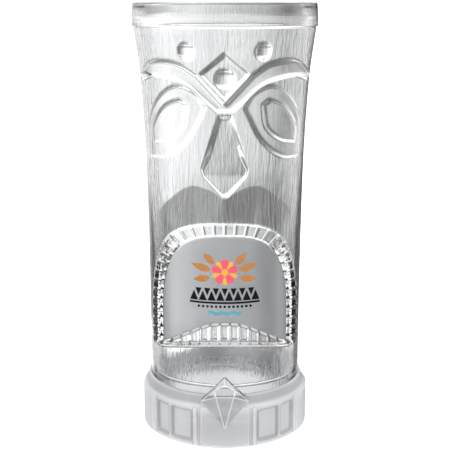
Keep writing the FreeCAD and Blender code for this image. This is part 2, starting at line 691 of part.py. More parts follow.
def board_screws():
    screws = []
    top = BOARD_BOTTOM + BOARD_THICKNESS
    for x, y in BOARD_SCREWS:
        head = cylinder(BOARD_HEAD_RADIUS, top, top + BOARD_HEAD_HEIGHT, x, y)
        shank = cylinder(BOARD_SCREW_RADIUS, COVER_TOP + BOARD_SCREW_END, top + EPS, x, y)
        head_top = top + BOARD_HEAD_HEIGHT
        drive = cross_recess(BOARD_HEAD_RADIUS, head_top - BOARD_RECESS_DEPTH, head_top + OVERCUT, x, y)
        screws.append(head.fuse(shank).cut(drive))
    return Part.makeCompound(screws)


def led(x, y):
    half = LED_SIZE / 2
    low = BOARD_BOTTOM + BOARD_THICKNESS
    high = low + LED_HEIGHT
    package = box(x - half, x + half, y - half, y + half, low, high)
    return package.cut(cylinder(LED_LENS_RADIUS, high - LED_LENS_DEPTH, high + OVERCUT, x, y))


def controller_chip():
    low = BOARD_BOTTOM + BOARD_THICKNESS
    body = box(CHIP_LEFT, CHIP_RIGHT, CHIP_FRONT, CHIP_BACK, low + CHIP_STANDOFF, low + CHIP_HEIGHT)
    legs = []
    for number in range(LEG_COUNT):
        x = CHIP_LEFT + LEG_INSET + LEG_PITCH * number
        legs.append(box(x, x + LEG_WIDTH, CHIP_FRONT - LEG_REACH, CHIP_BACK + LEG_REACH,
                        low, low + LEG_THICKNESS))
    return body.multiFuse(legs)


def led_resistors():
    low = BOARD_BOTTOM + BOARD_THICKNESS
    back = RESISTOR_FRONT + RESISTOR_WIDTH
    return Part.makeCompound([box(x, x + RESISTOR_LENGTH, RESISTOR_FRONT, back, low, low + RESISTOR_HEIGHT)
                              for x in RESISTOR_PLACES])


# ---- button and switch ----
def push_button():
    cap = cylinder(BUTTON_RADIUS, BUTTON_BOTTOM, BUTTON_FLANGE_TOP, 0, BUTTON_Y)
    flange = cylinder(BUTTON_FLANGE_RADIUS, BUTTON_FLANGE_BOTTOM, BUTTON_FLANGE_TOP, 0, BUTTON_Y)
    nub = cylinder(BUTTON_NUB_RADIUS, BUTTON_FLANGE_TOP - EPS, PLUNGER_BOTTOM - PRESS_GAP, 0, BUTTON_Y)
    dish_centre = BUTTON_BOTTOM + BUTTON_DISH_DEPTH - BUTTON_DISH_RADIUS
    dish = Part.makeSphere(BUTTON_DISH_RADIUS, V(0, BUTTON_Y, dish_centre))
    return cap.multiFuse([flange, nub]).cut(dish)


def switch_body():
    half = SWITCH_SIZE / 2
    body = box(-half, half, BUTTON_Y - half, BUTTON_Y + half, SWITCH_BOTTOM, BOARD_BOTTOM)
    well_radius = PLUNGER_RADIUS + PLUNGER_CLEARANCE
    return body.cut(cylinder(well_radius, SWITCH_BOTTOM - OVERCUT, PLUNGER_TOP + PLUNGER_ROOM, 0, BUTTON_Y))


def switch_plunger():
    return cylinder(PLUNGER_RADIUS, PLUNGER_BOTTOM, PLUNGER_TOP, 0, BUTTON_Y)


# ---- battery bay ----
def coin_cell(bottom):
    can = cylinder(CELL_RADIUS, bottom, bottom + CELL_THICKNESS - CELL_LID_STEP, 0, BAY_Y)
    lid = cylinder(CELL_RADIUS - CELL_LID_INSET, bottom, bottom + CELL_THICKNESS, 0, BAY_Y)
    return can.fuse(lid)


def positive_contact():
    """Strip that stands along the cells' side, with a tab over to the board."""
    left = -CONTACT_OFFSET - CONTACT_WIDTH
    right = -CONTACT_OFFSET
    y = positive_y()
    top = BOARD_BOTTOM + BOARD_THICKNESS
    strip = box(left, right, y, y + CONTACT_THICKNESS, CONTACT_FOOT, top + CONTACT_THICKNESS)
    tab = box(left, right, CONTACT_REACH, y + CONTACT_THICKNESS, top, top + CONTACT_THICKNESS)
    return strip.fuse(tab)


def negative_contact():
    """Finger under the bay's roof, bent down to the board."""
    left = CONTACT_OFFSET
    right = CONTACT_OFFSET + CONTACT_WIDTH
    high = bay_roof_bottom()
    bend = BAY_Y - BAY_RADIUS - BAY_WALL - CONTACT_STANDOFF
    top = BOARD_BOTTOM + BOARD_THICKNESS
    finger = box(left, right, bend, BAY_Y + CONTACT_FINGER, high - CONTACT_THICKNESS, high)
    drop = box(left, right, bend, bend + CONTACT_THICKNESS, top, high)
    tab = box(left, right, CONTACT_REACH, bend + CONTACT_THICKNESS, top, top + CONTACT_THICKNESS)
    return finger.multiFuse([drop, tab])


def battery_cap():
    cap = cylinder(CAP_RADIUS, COVER_BOTTOM, CAP_TOP, 0, BAY_Y)
    plug = cylinder(CAP_PLUG_RADIUS, CAP_TOP - EPS, CELL_BOTTOM - CAP_PLUG_GAP, 0, BAY_Y)
    lugs = []
    for angle in lug_angles():
        lugs.append(sector(LUG_RADIUS, LUG_BOTTOM, LUG_TOP, angle, angle + LUG_WIDTH, 0, BAY_Y))
    half_slot = COIN_SLOT_WIDTH / 2
    slot = box(-COIN_SLOT_HALF_LENGTH, COIN_SLOT_HALF_LENGTH, BAY_Y - half_slot, BAY_Y + half_slot,
               COVER_BOTTOM - OVERCUT, COVER_BOTTOM + COIN_SLOT_DEPTH)
    return cap.multiFuse([plug] + lugs).cut(slot).removeSplitter()


def cap_seal():
    low = seal_bottom()
    return ring(SEAL_OUTER_RADIUS, SEAL_INNER_RADIUS, low, low + SEAL_HEIGHT, 0, BAY_Y)


def write(name, shape):
    for number, solid in enumerate(shape.Solids):
        if not solid.isValid() or not solid.isClosed():
            print("not a good solid:", name, number)
    print("%-18s solids %2d  volume %9.1f" % (name, len(shape.Solids), shape.Volume))
    shape.exportStep(os.path.join("parts", name + ".step"))


def main():
    os.makedirs("parts", exist_ok=True)
    parts = {
        "cup_vessel": cup_vessel(),
        "base_shell": base_shell(),
        "light_diffuser": light_diffuser(),
        "bottom_cover": bottom_cover(),
        "cover_screws": cover_screws(),
        "circuit_board": circuit_board(),
        "board_screws": board_screws(),
        "controller_chip": controller_chip(),
        "led_resistors": led_resistors(),
        "push_button": push_button(),
        "switch_body": switch_body(),
        "switch_plunger": switch_plunger(),
        "coin_cell_lower": coin_cell(CELL_BOTTOM),
        "coin_cell_upper": coin_cell(CELL_BOTTOM + CELL_THICKNESS),
        "positive_contact": positive_contact(),
        "negative_contact": negative_contact(),
        "battery_cap": battery_cap(),
        "cap_seal": cap_seal(),
    }
    for name, (x, y) in LED_PLACES.items():
        parts[name] = led(x, y)
    for name, shape in parts.items():
        write(name, shape)


main()
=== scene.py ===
import math

import bmesh
import bpy
import numpy as np
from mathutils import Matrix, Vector


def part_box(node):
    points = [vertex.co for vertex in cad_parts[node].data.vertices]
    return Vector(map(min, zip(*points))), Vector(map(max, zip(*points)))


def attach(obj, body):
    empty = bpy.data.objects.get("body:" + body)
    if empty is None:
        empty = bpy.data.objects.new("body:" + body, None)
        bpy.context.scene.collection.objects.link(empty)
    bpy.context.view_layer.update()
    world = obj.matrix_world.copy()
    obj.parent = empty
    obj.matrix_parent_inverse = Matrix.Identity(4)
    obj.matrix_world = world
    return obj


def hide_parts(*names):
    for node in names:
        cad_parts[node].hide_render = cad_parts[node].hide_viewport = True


# Looks of the light-up tiki tumbler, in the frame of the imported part: +Z up, the face towards -Y.
# Sizes and places are in millimetres, and MM turns them into Blender's metres.

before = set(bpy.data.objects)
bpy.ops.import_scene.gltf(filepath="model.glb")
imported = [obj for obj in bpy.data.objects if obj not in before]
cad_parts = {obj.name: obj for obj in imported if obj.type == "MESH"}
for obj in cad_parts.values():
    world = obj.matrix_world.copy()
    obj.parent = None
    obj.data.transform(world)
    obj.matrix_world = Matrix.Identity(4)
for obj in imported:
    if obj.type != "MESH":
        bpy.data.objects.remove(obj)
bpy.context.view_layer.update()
MM = 0.001

# ---- places taken from the frame ----
CUP_LOW, CUP_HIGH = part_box("cup_vessel")
TOP = CUP_HIGH.z / MM
RIM_RADIUS = CUP_HIGH.x / MM
SKIRT_BOTTOM = CUP_LOW.z / MM

# ---- cup: the outline of the part ----
RIM_LOW = TOP - 9.6
RIM_GROOVE = 0.15
WALL_BOTTOM = 26.0
CUP_OUTLINE = [(32.0, 24.0), (32.3, 75.0), (33.15, 118.0), (35.0, 150.0), (37.6, 170.4)]
CUP_WALL = 2.3
SKIRT_RADIUS = 32.0
INSIDE_RADIUS = 29.7
FLOOR_TOP = 16.2
FLOOR_CORNER = 1.5
FLOOR_UNDER = 13.7
CLEAR_IOR = 1.58
SIDE_WALL = 1.5
SIDE_WALL_FROM = math.radians(66)
SIDE_WALL_TURN = math.radians(22)
SIDE_WALL_TOP = 114.0
SIDE_WALL_FADE = 42.0
ROW_STEP = 0.4
FRONT_COLUMNS = 420
BACK_COLUMNS = 180

# ---- cup: wood grain, as width and length of the streaks and their random seed ----
GRAIN_RADIUS = 33.0
GRAIN_HEIGHT = 200
BARK_DEPTH = 0.035
FINE_STREAKS = (0.7, 5.0, 3)
MIDDLE_STREAKS = (1.5, 11.0, 5)
CRACKS = (2.3, 17.0, 8)
RIM_GRAIN = 0.5
RIM_GRAIN_ROWS = 8
CHIN_TOP = 40.0
CHIN_GRAIN = 0.9

# ---- cup: how far the face stands out, and how wide its edges are ----
BROW_RELIEF = 1.4
BROW_EDGE = 2.4
DIAMOND_RELIEF = 1.5
DIAMOND_EDGE = 1.7
BEAD_RELIEF = 1.5
NOSE_TOP_RELIEF = 0.6
NOSE_RELIEF = 3.0
NOSE_ROOT = 138.0
NOSE_RUN = 24.0
NOSE_EDGE = 1.3
BRIDGE_EDGE = 0.9
EYE_RELIEF = 1.0
EYE_EDGE = 2.2
PUPIL_RELIEF = 2.0
PUPIL_EDGE = 2.0
MUZZLE_RELIEF = 2.0
MUZZLE_SLOPE = 0.14
MUZZLE_HALF_WIDTH = 31.0
MUZZLE_FADE = 9.0
MOUTH_DEPTH = 0.8
TEETH_RELIEF = 0.2
PANEL_EDGE = 0.6
GAP_DEPTH = 0.4
FUNNEL = 0.5
TOOTH_STRIP = 0.7
TOOTH_TURN = 0.4
TOOTH_TURN_MOST = 1.35
GAP_TURN = 0.35
SIDE_TEETH_FROM = 0.6
SIDE_TEETH_FADE = 0.3

# ---- cup: the face's outlines in the front view, as x and z ----
# A bead also has its radius and how far it is lifted by what it stands on.
BEADS = ((-14.7, 161.7, 3.8, 0), (14.7, 161.7, 3.8, 0), (0, 151.5, 4.2, DIAMOND_RELIEF))
BEAD_WALL_RADIUS = 36.3
BROW_TOP = [(10.2, 153.4), (16.5, 157.4), (23.5, 158.7), (29.5, 157.6), (34.4, 152.8)]
BROW_LOW = [(34.4, 148.9), (28.0, 151.2), (20.5, 150.4), (14.5, 148.2), (8.5, 142.9), (3.2, 138.3)]
DIAMOND = [(0, 161.8), (10.2, 153.2), (0, 142.2), (-10.2, 153.2)]
NOSE = [(-3.0, 137.9), (3.0, 137.9), (9.3, 115.9), (8.4, 113.2), (1.3, 105.4), (-1.3, 105.4), (-8.4, 113.2),
        (-9.3, 115.9)]
LID_TOP = [(6.8, 140.0), (10.5, 146.2), (18.2, 149.3), (25.5, 145.0), (30.2, 135.0), (30.6, 118.4)]
LID_LOW = [(30.6, 118.4), (22.0, 119.6), (13.5, 126.8), (6.8, 140.0)]
PUPIL_TOP = [(13.4, 141.6), (17.2, 143.8), (23.5, 140.6), (27.7, 132.6), (27.4, 124.8)]
PUPIL_LOW = [(27.4, 124.8), (20.5, 126.8), (14.8, 132.4), (13.4, 141.6)]
CHEEK = [(0, 104.0), (6.0, 107.8), (13.5, 109.2), (21.0, 103.8), (28.2, 94.2), (31.2, 76.0)]
HUMP = [(-26.0, 41.4), (-15.8, 47.8), (-7.4, 52.0), (0, 52.9), (7.4, 52.0), (15.8, 47.8), (26.0, 41.4)]
JAW_SIDE = [(45.0, 60.0), (45.0, -30.0)]
HUMP_FOOT = [(26.0, 30.0), (-26.0, 30.0)]
LIP_MIDDLE, LIP_DROP, LIP_HALF_WIDTH = 44.3, 4.9, 27.0
MOUTH_POWER = 2.9
MOUTH_SPRING = 50.0
MOUTH_HALF_WIDTH, MOUTH_RISE = 30.6, 44.6
PANEL_HALF_WIDTH, PANEL_RISE = 26.4, 39.0
ARCH_TEETH = 36
ARCH_FOOT = 34.0
LOWER_TEETH = 13
LOWER_TEETH_HALF_WIDTH = 26.0
TOOTH_GAP = 0.6
TOOTH_EDGE = 0.55


# ---- outlines ----
def smooth_line(points, steps=10):
    """Catmull-Rom curve through a few points."""
    p = np.array(points, float)
    p = np.vstack([2 * p[0] - p[1], p, 2 * p[-1] - p[-2]])
    out = []
    for a, b, c, d in zip(p, p[1:], p[2:], p[3:]):
        for t in np.arange(steps) / steps:
            out.append(0.5 * (2 * b + (c - a) * t + (2 * a - 5 * b + 4 * c - d) * t ** 2
                              + (3 * b - a - 3 * c + d) * t ** 3))
    out.append(p[-2])
    return np.array(out)


def mirror_line(points):
    return np.array(points)[::-1] * [-1, 1]


def signed_distance(outline, x, z):
    """Distance in millimetres from the outline's edge, positive inside."""
    outline = np.asarray(outline, float)
    nearest = np.full(x.shape, 1e9)
    inside = np.zeros(x.shape, bool)
    for (ax, az), (bx, bz) in zip(outline, np.roll(outline, -1, axis=0)):
        ex, ez = bx - ax, bz - az
        length = ex * ex + ez * ez
        if length == 0:
            continue
        t = np.clip(((x - ax) * ex + (z - az) * ez) / length, 0, 1)
        nearest = np.minimum(nearest, np.hypot(x - ax - t * ex, z - az - t * ez))
        if bz != az:
            crosses = ((az > z) != (bz > z)) & (x < (bx - ax) * (z - az) / (bz - az) + ax)
            inside ^= crosses
    return np.where(inside, nearest, -nearest)


def arch_line(half_width, rise, steps=60):
    """Squared arch of the mouth, from its right foot over the top to its left foot."""
    turn = np.linspace(0, math.pi, steps + 1)
    power = 2 / MOUTH_POWER
    x = half_width * np.sign(np.cos(turn)) * np.abs(np.cos(turn)) ** power
    z = MOUTH_SPRING + rise * np.sin(turn).clip(0) ** power
    return np.column_stack([x, z])


def lower_edge(x):
    return LIP_MIDDLE - LIP_DROP * (x / LIP_HALF_WIDTH) ** 2


def mouth_line(half_width, rise):
    x = np.linspace(-half_width, half_width, 24)
    return np.vstack([arch_line(half_width, rise), np.column_stack([x, lower_edge(x)])])


def brow_line():
    right = np.vstack([[(0, 142.4)], smooth_line(BROW_TOP), smooth_line(BROW_LOW)])
    return np.vstack([right, mirror_line(right)])


def jaw_line():
    right = np.vstack([smooth_line(CHEEK), JAW_SIDE])
    return np.vstack([right, mirror_line(right)])


def eye_line(top, low, side):
    return np.vstack([smooth_line(top), smooth_line(low)[1:]]) * [side, 1]


def rise_round(distance, width):
    """Rounded edge: 0 at the outline, 1 from the width inwards."""
    return np.sin(np.clip(distance / width, 0, 1) * math.pi / 2)


def rise_soft(distance, width):
    t = np.clip(distance / width, 0, 1)
    return t * t * (3 - 2 * t)


def rise_bevel(distance, width):
    return np.clip(distance / width, 0, 1)


def streaks(angle, z, width, length, seed):
    """Seeded noise from -1 to 1 that runs in streaks up the wall and closes round the cup."""
    columns = int(round(2 * math.pi * GRAIN_RADIUS / width))
    rows = int(GRAIN_HEIGHT / length) + 3
    grid = np.random.RandomState(seed).uniform(-1, 1, (rows, columns))
    u = (angle / (2 * math.pi)) % 1 * columns
    v = z / length
    column = np.floor(u).astype(int)
    row = np.floor(v).astype(int)
    across = rise_soft(u - column, 1)
    up = rise_soft(v - row, 1)
    column = column % columns
    beside = (column + 1) % columns
    low = grid[row, column] * (1 - across) + grid[row, beside] * across
    high = grid[row + 1, column] * (1 - across) + grid[row + 1, beside] * across
    return low * (1 - up) + high * up


def bark(angle, z):
    """Wood grain of the mould: fine streaks with deeper cracks."""
    fine = streaks(angle, z, *FINE_STREAKS)
    middle = streaks(angle, z, *MIDDLE_STREAKS)
    cracks = streaks(angle, z, *CRACKS)
    return BARK_DEPTH * (0.8 * fine + 0.45 * middle - 0.9 * np.clip(cracks - 0.4, 0, 1))


# ---- height of the relief over the wall, at places in the front view ----
def gaps_between(place, pitch):
    """1 on a tooth and 0 in the gap at each whole pitch."""
    off = np.abs((place / pitch + 0.5) % 1 - 0.5) * pitch
    return rise_round(off - TOOTH_GAP / 4, TOOTH_EDGE)


def arch_teeth(x, z):
    """1 on a tooth and 0 in the gaps, by the place along the arch."""
    half_width = (MOUTH_HALF_WIDTH + PANEL_HALF_WIDTH) / 2
    rise = (MOUTH_RISE + PANEL_RISE) / 2
    arch = arch_line(half_width, rise, 240)
    path = np.vstack([[(half_width, ARCH_FOOT)], arch, [(-half_width, ARCH_FOOT)]])
    steps = np.hypot(*np.diff(path, axis=0).T)
    along = np.concatenate([[0], np.cumsum(steps)])
    nearest = np.full(x.shape, 1e9)
    place = np.zeros(x.shape)
    for (ax, az), (bx, bz), start, length in zip(path, path[1:], along, steps):
        if length == 0:
            continue
        t = np.clip(((x - ax) * (bx - ax) + (z - az) * (bz - az)) / length ** 2, 0, 1)
        away = np.hypot(x - ax - t * (bx - ax), z - az - t * (bz - az))
        place = np.where(away < nearest, start + t * length, place)
        nearest = np.minimum(nearest, away)
    return gaps_between(place, along[-1] / ARCH_TEETH)


def lower_teeth(x):
    return gaps_between(x + LOWER_TEETH_HALF_WIDTH, 2 * LOWER_TEETH_HALF_WIDTH / LOWER_TEETH)


def face_height(x, z):
    """Muzzle, eyes, brow, diamond and nose, and how far inside the brow and the eyes each place is."""
    muzzle = np.minimum(MUZZLE_SLOPE * signed_distance(jaw_line(), x, z).clip(0), MUZZLE_RELIEF)
    height = muzzle * rise_soft(MUZZLE_HALF_WIDTH - np.abs(x), MUZZLE_FADE)
    eyes = np.full(x.shape, -1e9)
    for side in (1, -1):
        eye = signed_distance(eye_line(LID_TOP, LID_LOW, side), x, z)
        pupil = signed_distance(eye_line(PUPIL_TOP, PUPIL_LOW, side), x, z)
        eyes = np.maximum(eyes, eye)
        height = np.maximum(height, EYE_RELIEF * rise_round(eye, EYE_EDGE)
                            + (PUPIL_RELIEF - EYE_RELIEF) * rise_round(pupil, PUPIL_EDGE))
    brow = signed_distance(brow_line(), x, z)
    height = np.maximum(height, BROW_RELIEF * rise_round(brow, BROW_EDGE))
    diamond = signed_distance(DIAMOND, x, z)
    height = np.maximum(height, DIAMOND_RELIEF * rise_bevel(diamond, DIAMOND_EDGE))
    nose = signed_distance(NOSE, x, z)
    ridge = NOSE_TOP_RELIEF + (NOSE_RELIEF - NOSE_TOP_RELIEF) * np.clip((NOSE_ROOT - z) / NOSE_RUN, 0, 1)
    height = np.maximum(height, ridge * rise_bevel(nose, NOSE_EDGE + BRIDGE_EDGE * rise_soft(z - 116.0, 6.0)))
    return height, brow, eyes


def teeth_height(x, z, angle, around, mouth, panel, hump):
    """Both rows of teeth over the sunk panel. The arch opens towards the muzzle, and turns at the sides."""
    step = TEETH_RELIEF + MOUTH_DEPTH
    aside = rise_soft(np.abs(angle) - SIDE_TEETH_FROM, SIDE_TEETH_FADE)
    past_panel = np.clip(-panel - TOOTH_STRIP, 0, None) / np.maximum(np.cos(angle), 0.3)
    turned = np.minimum(TOOTH_TURN * past_panel, TOOTH_TURN_MOST) * rise_soft(mouth, 2.0) * aside
    outwards = np.clip(-panel / np.maximum(mouth - panel, 0.1), 0, 1)
    funnel = FUNNEL * np.maximum(around - TEETH_RELIEF, 0) * outwards * (1 - aside)
    tooth = arch_teeth(x, z)
    arch = (step + funnel) * rise_soft(-panel, PANEL_EDGE) - GAP_DEPTH * (1 - tooth) * rise_soft(-panel, 1.0)
    arch = np.maximum(arch + turned * (GAP_TURN + (1 - GAP_TURN) * tooth), 0)
    lower = step * lower_teeth(x) * rise_soft(hump, PANEL_EDGE)
    return np.maximum(arch, lower) - MOUTH_DEPTH


def relief(x, z, angle):
    """Height over the wall, how far inside the smooth mouth panel, and how much wood grain shows."""
    height, brow, eyes = face_height(x, z)
    mouth = signed_distance(mouth_line(MOUTH_HALF_WIDTH, MOUTH_RISE), x, z)
    panel = signed_distance(mouth_line(PANEL_HALF_WIDTH, PANEL_RISE), x, z)
    hump = signed_distance(np.vstack([smooth_line(HUMP), HUMP_FOOT]), x, z)
    teeth = teeth_height(x, z, angle, height, mouth, panel, hump)
    edge = rise_soft(mouth, 0.7)
    height = np.where(mouth > 0, height * (1 - edge) + teeth * edge, height)
    smooth_panel = np.minimum(panel, -hump)
    carved = np.maximum(rise_soft(brow, 1.0), 0.7 * rise_soft(eyes, 1.0))
    carved = np.maximum(carved, 0.8 * rise_soft(mouth, 0.5))
    carved = np.maximum(carved, rise_soft(smooth_panel, 0.6))
    return height, smooth_panel, 1 - carved


def bead_height(angle, z, radius):
    """Domes on the forehead: two beside the diamond and one on it."""
    height = np.zeros(z.shape)
    for x, middle, size, ledge in BEADS:
        across = (angle - math.asin(x / BEAD_WALL_RADIUS)) * radius
        off = np.hypot(across, z - middle)
        ball = (size ** 2 + BEAD_RELIEF ** 2) / (2 * BEAD_RELIEF)
        dome = np.sqrt(np.clip(ball ** 2 - off ** 2, 0, None)) - (ball - BEAD_RELIEF)
        height = np.maximum(height, np.where(off < size, ledge + dome.clip(0), 0))
    return height


def soften(height):
    """Takes the grid's stairs out of slanted edges."""
    padded = np.pad(height, 1, mode="edge")
    upright = (padded[:-2] + 2 * padded[1:-1] + padded[2:]) / 4
    return (upright[:, :-2] + 2 * upright[:, 1:-1] + upright[:, 2:]) / 4


# ---- mesh building ----
def link_mesh(mesh):
    piece = bpy.data.objects.new(mesh.name, mesh)
    bpy.context.scene.collection.objects.link(piece)
    return piece


def new_object(name, verts, faces, smooth=True):
    mesh = bpy.data.meshes.new(name)
    mesh.from_pydata([tuple(v) for v in verts], [], [tuple(f) for f in faces])
    mesh.validate()
    mesh.polygons.foreach_set("use_smooth", [smooth] * len(mesh.polygons))
    mesh.update()
    return link_mesh(mesh)


def object_from(made, name):
    """Turns a bmesh into an object and frees it."""
    mesh = bpy.data.meshes.new(name)
    made.to_mesh(mesh)
    made.free()
    return link_mesh(mesh)


def around_axis(radius, angle, height):
    """Points in metres from radius, angle from the front and height."""
    return np.stack([radius * np.sin(angle), -radius * np.cos(angle), height], axis=-1).reshape(-1, 3) * MM


def add_attribute(piece, name, values):
    piece.data.attributes.new(name, "FLOAT", "POINT").data.foreach_set("value", values)


def band(rows, columns, first=0):
    """Faces of quads between rows of points, each row closed into a ring."""
    low = np.arange(rows - 1)[:, None] * columns + first
    here = np.arange(columns)[None, :]
    beside = (here + 1) % columns
    quads = np.stack([low + here, low + beside, low + columns + beside, low + columns + here], axis=-1)
    return quads.reshape(-1, 4).tolist()


def outer_radius(z):
    """Radius of the plain wall at a height."""
    line = smooth_line([(height, radius) for radius, height in CUP_OUTLINE], 24)
    return np.interp(z, line[:, 0], line[:, 1])


def wall_heights():
    return np.arange(WALL_BOTTOM, RIM_LOW - 0.2, ROW_STEP)


def ring_angles():
    """Angles from the front, closer together on the side with the face."""
    front = np.linspace(-math.pi / 2, math.pi / 2, FRONT_COLUMNS, endpoint=False)
    back = np.linspace(math.pi / 2, 1.5 * math.pi, BACK_COLUMNS, endpoint=False)
    return np.concatenate([front, back])


def cup_rows():
    """Radius and height of the skin's rows: up the outside, over the drinking rim and down the inside."""
    outside = [(INSIDE_RADIUS + 0.2, SKIRT_BOTTOM), (SKIRT_RADIUS - 0.2, SKIRT_BOTTOM),
               (SKIRT_RADIUS, SKIRT_BOTTOM + 0.2)]
    outside += [(SKIRT_RADIUS, z) for z in (13.0, 15.0, 17.0, 19.0, 21.0, 22.6, 24.0, 25.0)]
    outside += [(float(outer_radius(z)), z) for z in wall_heights()]
    rim = [(37.55, RIM_LOW - 0.05), (37.75, RIM_LOW)]
    rim += [(RIM_RADIUS - inset, RIM_LOW + rise)
            for inset, rise in ((0.45, 0.03), (0.12, 0.25), (0, 0.6), (0.1, 2.5), (0.25, 5.0))]
    rim += [(RIM_RADIUS - inset, TOP - drop)
            for inset, drop in ((0.42, 1.2), (0.52, 0.5), (0.7, 0.14), (1.0, 0), (1.6, 0), (2.2, 0),
                                (2.48, 0.12), (2.66, 0.45), (2.72, 1.0))]
    waist = [(35.5, 178.3), (35.05, 176.3), (34.65, 174.8), (34.6, 174.2), (34.8, 173.0), (35.25, 171.6)]
    inside = [(float(outer_radius(z)) - CUP_WALL, z)
              for z in [170.3, 168.0, 165.5] + np.arange(163.0, 24.0, -3.0).tolist()]
    corner_middle = FLOOR_TOP + FLOOR_CORNER
    inside += [(INSIDE_RADIUS, 22.0), (INSIDE_RADIUS, corner_middle)]
    inside += [(INSIDE_RADIUS - FLOOR_CORNER * (1 - math.cos(a)), corner_middle - FLOOR_CORNER * math.sin(a))
               for a in np.linspace(0, math.pi / 2, 7)[1:]]
    inside += [(radius, FLOOR_TOP) for radius in (22.0, 14.0, 7.0, 2.0)]
    return outside, rim, waist + inside


def carve_face(angles, radius, height):
    """Adds the face and the grain to the wall's rows. Returns what is on the panel, and the bump's amount."""
    turn = (angles + math.pi) % (2 * math.pi) - math.pi
    front = np.cos(turn) > 0
    lift, panel, grained = relief(radius * np.sin(turn), height, turn)
    grained = np.where(front, grained, 1)
    dome = bead_height(turn, height, radius)
    lift = np.where(dome > 0, np.maximum(lift, dome), lift)
    lift = soften(np.where(front, lift * np.clip(np.cos(turn) / 0.08, 0, 1), 0))
    ends = rise_soft(height - WALL_BOTTOM, 1.5) * rise_soft(RIM_LOW - 0.4 - height, 1.0)
    radius += (lift + bark(angles, height) * grained) * ends
    radius -= RIM_GROOVE * rise_soft(height - (RIM_LOW - 0.8), 0.6)
    return (panel > 0.1) & front, grained * (1 + CHIN_GRAIN * rise_soft(CHIN_TOP - height, 3.0))


def thicken_sides(angles, radius, height):
    """Makes the lower half of the wall thicker inwards at the left and the right."""
    side = np.abs((angles + math.pi) % (2 * math.pi) - math.pi)
    side = np.minimum(side, math.pi - side)
    thick = SIDE_WALL * rise_soft(side - SIDE_WALL_FROM, SIDE_WALL_TURN)
    radius -= thick * rise_soft(SIDE_WALL_TOP - height, SIDE_WALL_FADE) * rise_soft(height - 20, 4.0)


def cup_skin():
    """Points and faces of the closed clear moulding, which faces are on the panel, and the points' grain."""
    angles = ring_angles()
    columns = len(angles)
    outside, rim, inside = cup_rows()
    rows = np.array(outside + rim + inside)
    angle = np.broadcast_to(angles, (len(rows), columns))
    radius = rows[:, :1] * np.ones(columns)
    height = rows[:, 1:] * np.ones(columns)
    wall = slice(len(outside) - len(wall_heights()), len(outside))
    inner = slice(len(outside) + len(rim), len(rows))
    on_panel = np.zeros(radius.shape, bool)
    grain = np.zeros(radius.shape)
    grain[:len(outside)] = 1
    grain[len(outside):len(outside) + RIM_GRAIN_ROWS] = RIM_GRAIN
    on_panel[wall], grain[wall] = carve_face(angle[wall], radius[wall], height[wall])
    thicken_sides(angle[inner], radius[inner], height[inner])
    points = np.vstack([around_axis(radius, angle, height), [(0, 0, FLOOR_TOP * MM)]])
    faces = band(len(rows), columns)
    centre = len(rows) * columns
    last = centre - columns
    faces += [(last + c, last + (c + 1) % columns, centre) for c in range(columns)]
    under = np.array([(INSIDE_RADIUS, SKIRT_BOTTOM), (INSIDE_RADIUS, 12.5)]
                     + [(r, FLOOR_UNDER) for r in (INSIDE_RADIUS, 20.0, 10.0, 3.0)])
    first = len(points)
    below = around_axis(under[:, :1], angles, under[:, 1:] * np.ones(columns))
    points = np.vstack([points, below, [(0, 0, FLOOR_UNDER * MM)]])
    faces += [tuple(reversed(face)) for face in band(len(under), columns, first)]
    centre = len(points) - 1
    last = centre - columns
    faces += [(last + (c + 1) % columns, last + c, centre) for c in range(columns)]
    faces += [(c, first + c, first + (c + 1) % columns, (c + 1) % columns) for c in range(columns)]
    grain_points = np.zeros(len(points))
    grain_points[:grain.size] = grain.ravel()
    return points, faces, on_panel[:-1].ravel(), grain_points


def build_cup():
    points, faces, on_panel, grain = cup_skin()
    cup = new_object("tumbler_clear", points, faces)
    marks = np.zeros(len(cup.data.polygons), np.int32)
    marks[:len(on_panel)] = on_panel
    cup.data.materials.append(clear_plastic())
    cup.data.materials.append(panel_plastic())
    cup.data.polygons.foreach_set("material_index", marks)
    add_attribute(cup, "grain", grain)
    cup.data.update()
    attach(cup, "mug")
    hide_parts("cup_vessel")


# ---- base, with angles in degrees from the front ----
BASE_RADIUS = 35.0
BASE_EDGE = 17.6
BLOCK_TOP = 18.6
BASE_COLUMNS = 720
COLUMN_STEP = 0.3
FRONT_BLOCK = 17.0
SIDE_BLOCK = 31.0
BLOCK_LIFT = 0.7
POSTS = (20.5, 57.0)
POST_HALF = 1.6
POST_LIFT = 0.6
PANELS = ((23.0, 39.5), (42.0, 54.5))
PANEL_MIDDLE, PANEL_HALF_HEIGHT = 8.9, 6.9
PANEL_DEPTH = 0.9
SHOULDER = [(34.98, BASE_EDGE), (34.85, 17.95), (34.5, 18.3), (34.1, 19.1), (33.7, 20.2), (33.3, 21.4),
            (33.05, 22.2), (32.85, 22.5), (32.55, 22.6), (32.2, 22.55), (32.1, 22.3)]
LIFTED_SHOULDER_ROWS = 6
SHOULDER_MIDDLE, SHOULDER_HALF = 20.0, 1.9
BASE_INSIDE = [(32.1, 15.0), (32.1, 11.3), (30.0, 11.3), (24.7, 11.3), (24.5, 11.1), (24.5, 10.4),
               (24.7, 10.2), (30.0, 10.2), (32.7, 10.2), (33.0, 9.8), (33.0, 5.0), (33.0, 0.3), (33.2, 0.0)]
FOOT = [(34.0, 0.0), (34.4, 0.0)]
BOSSES = (30.0, 150.0, 270.0)
BOSS_CIRCLE = 27.5
BOSS_LOW, BOSS_HIGH = 3.4, 10.25
BOSS_SIDES = 32
# Whiteness of the base: plain frosting, painted highlights on raised edges and painted shade on sunk ones,
# darker on the front block, a painted highlight along the top and painted shade on the shoulder.
FROST, PAINTED_EDGE_LIGHT = 0.45, 0.9
FROST_BLOCK, PAINTED_RIM_HIGHLIGHT, PAINTED_SHOULDER_SHADE = -0.12, 0.5, -0.4


def edge_step(value, middle, half, soft):
    """1 within half of the middle, with soft shoulders, 0 outside."""
    return rise_soft(half - np.abs(value - middle), soft)


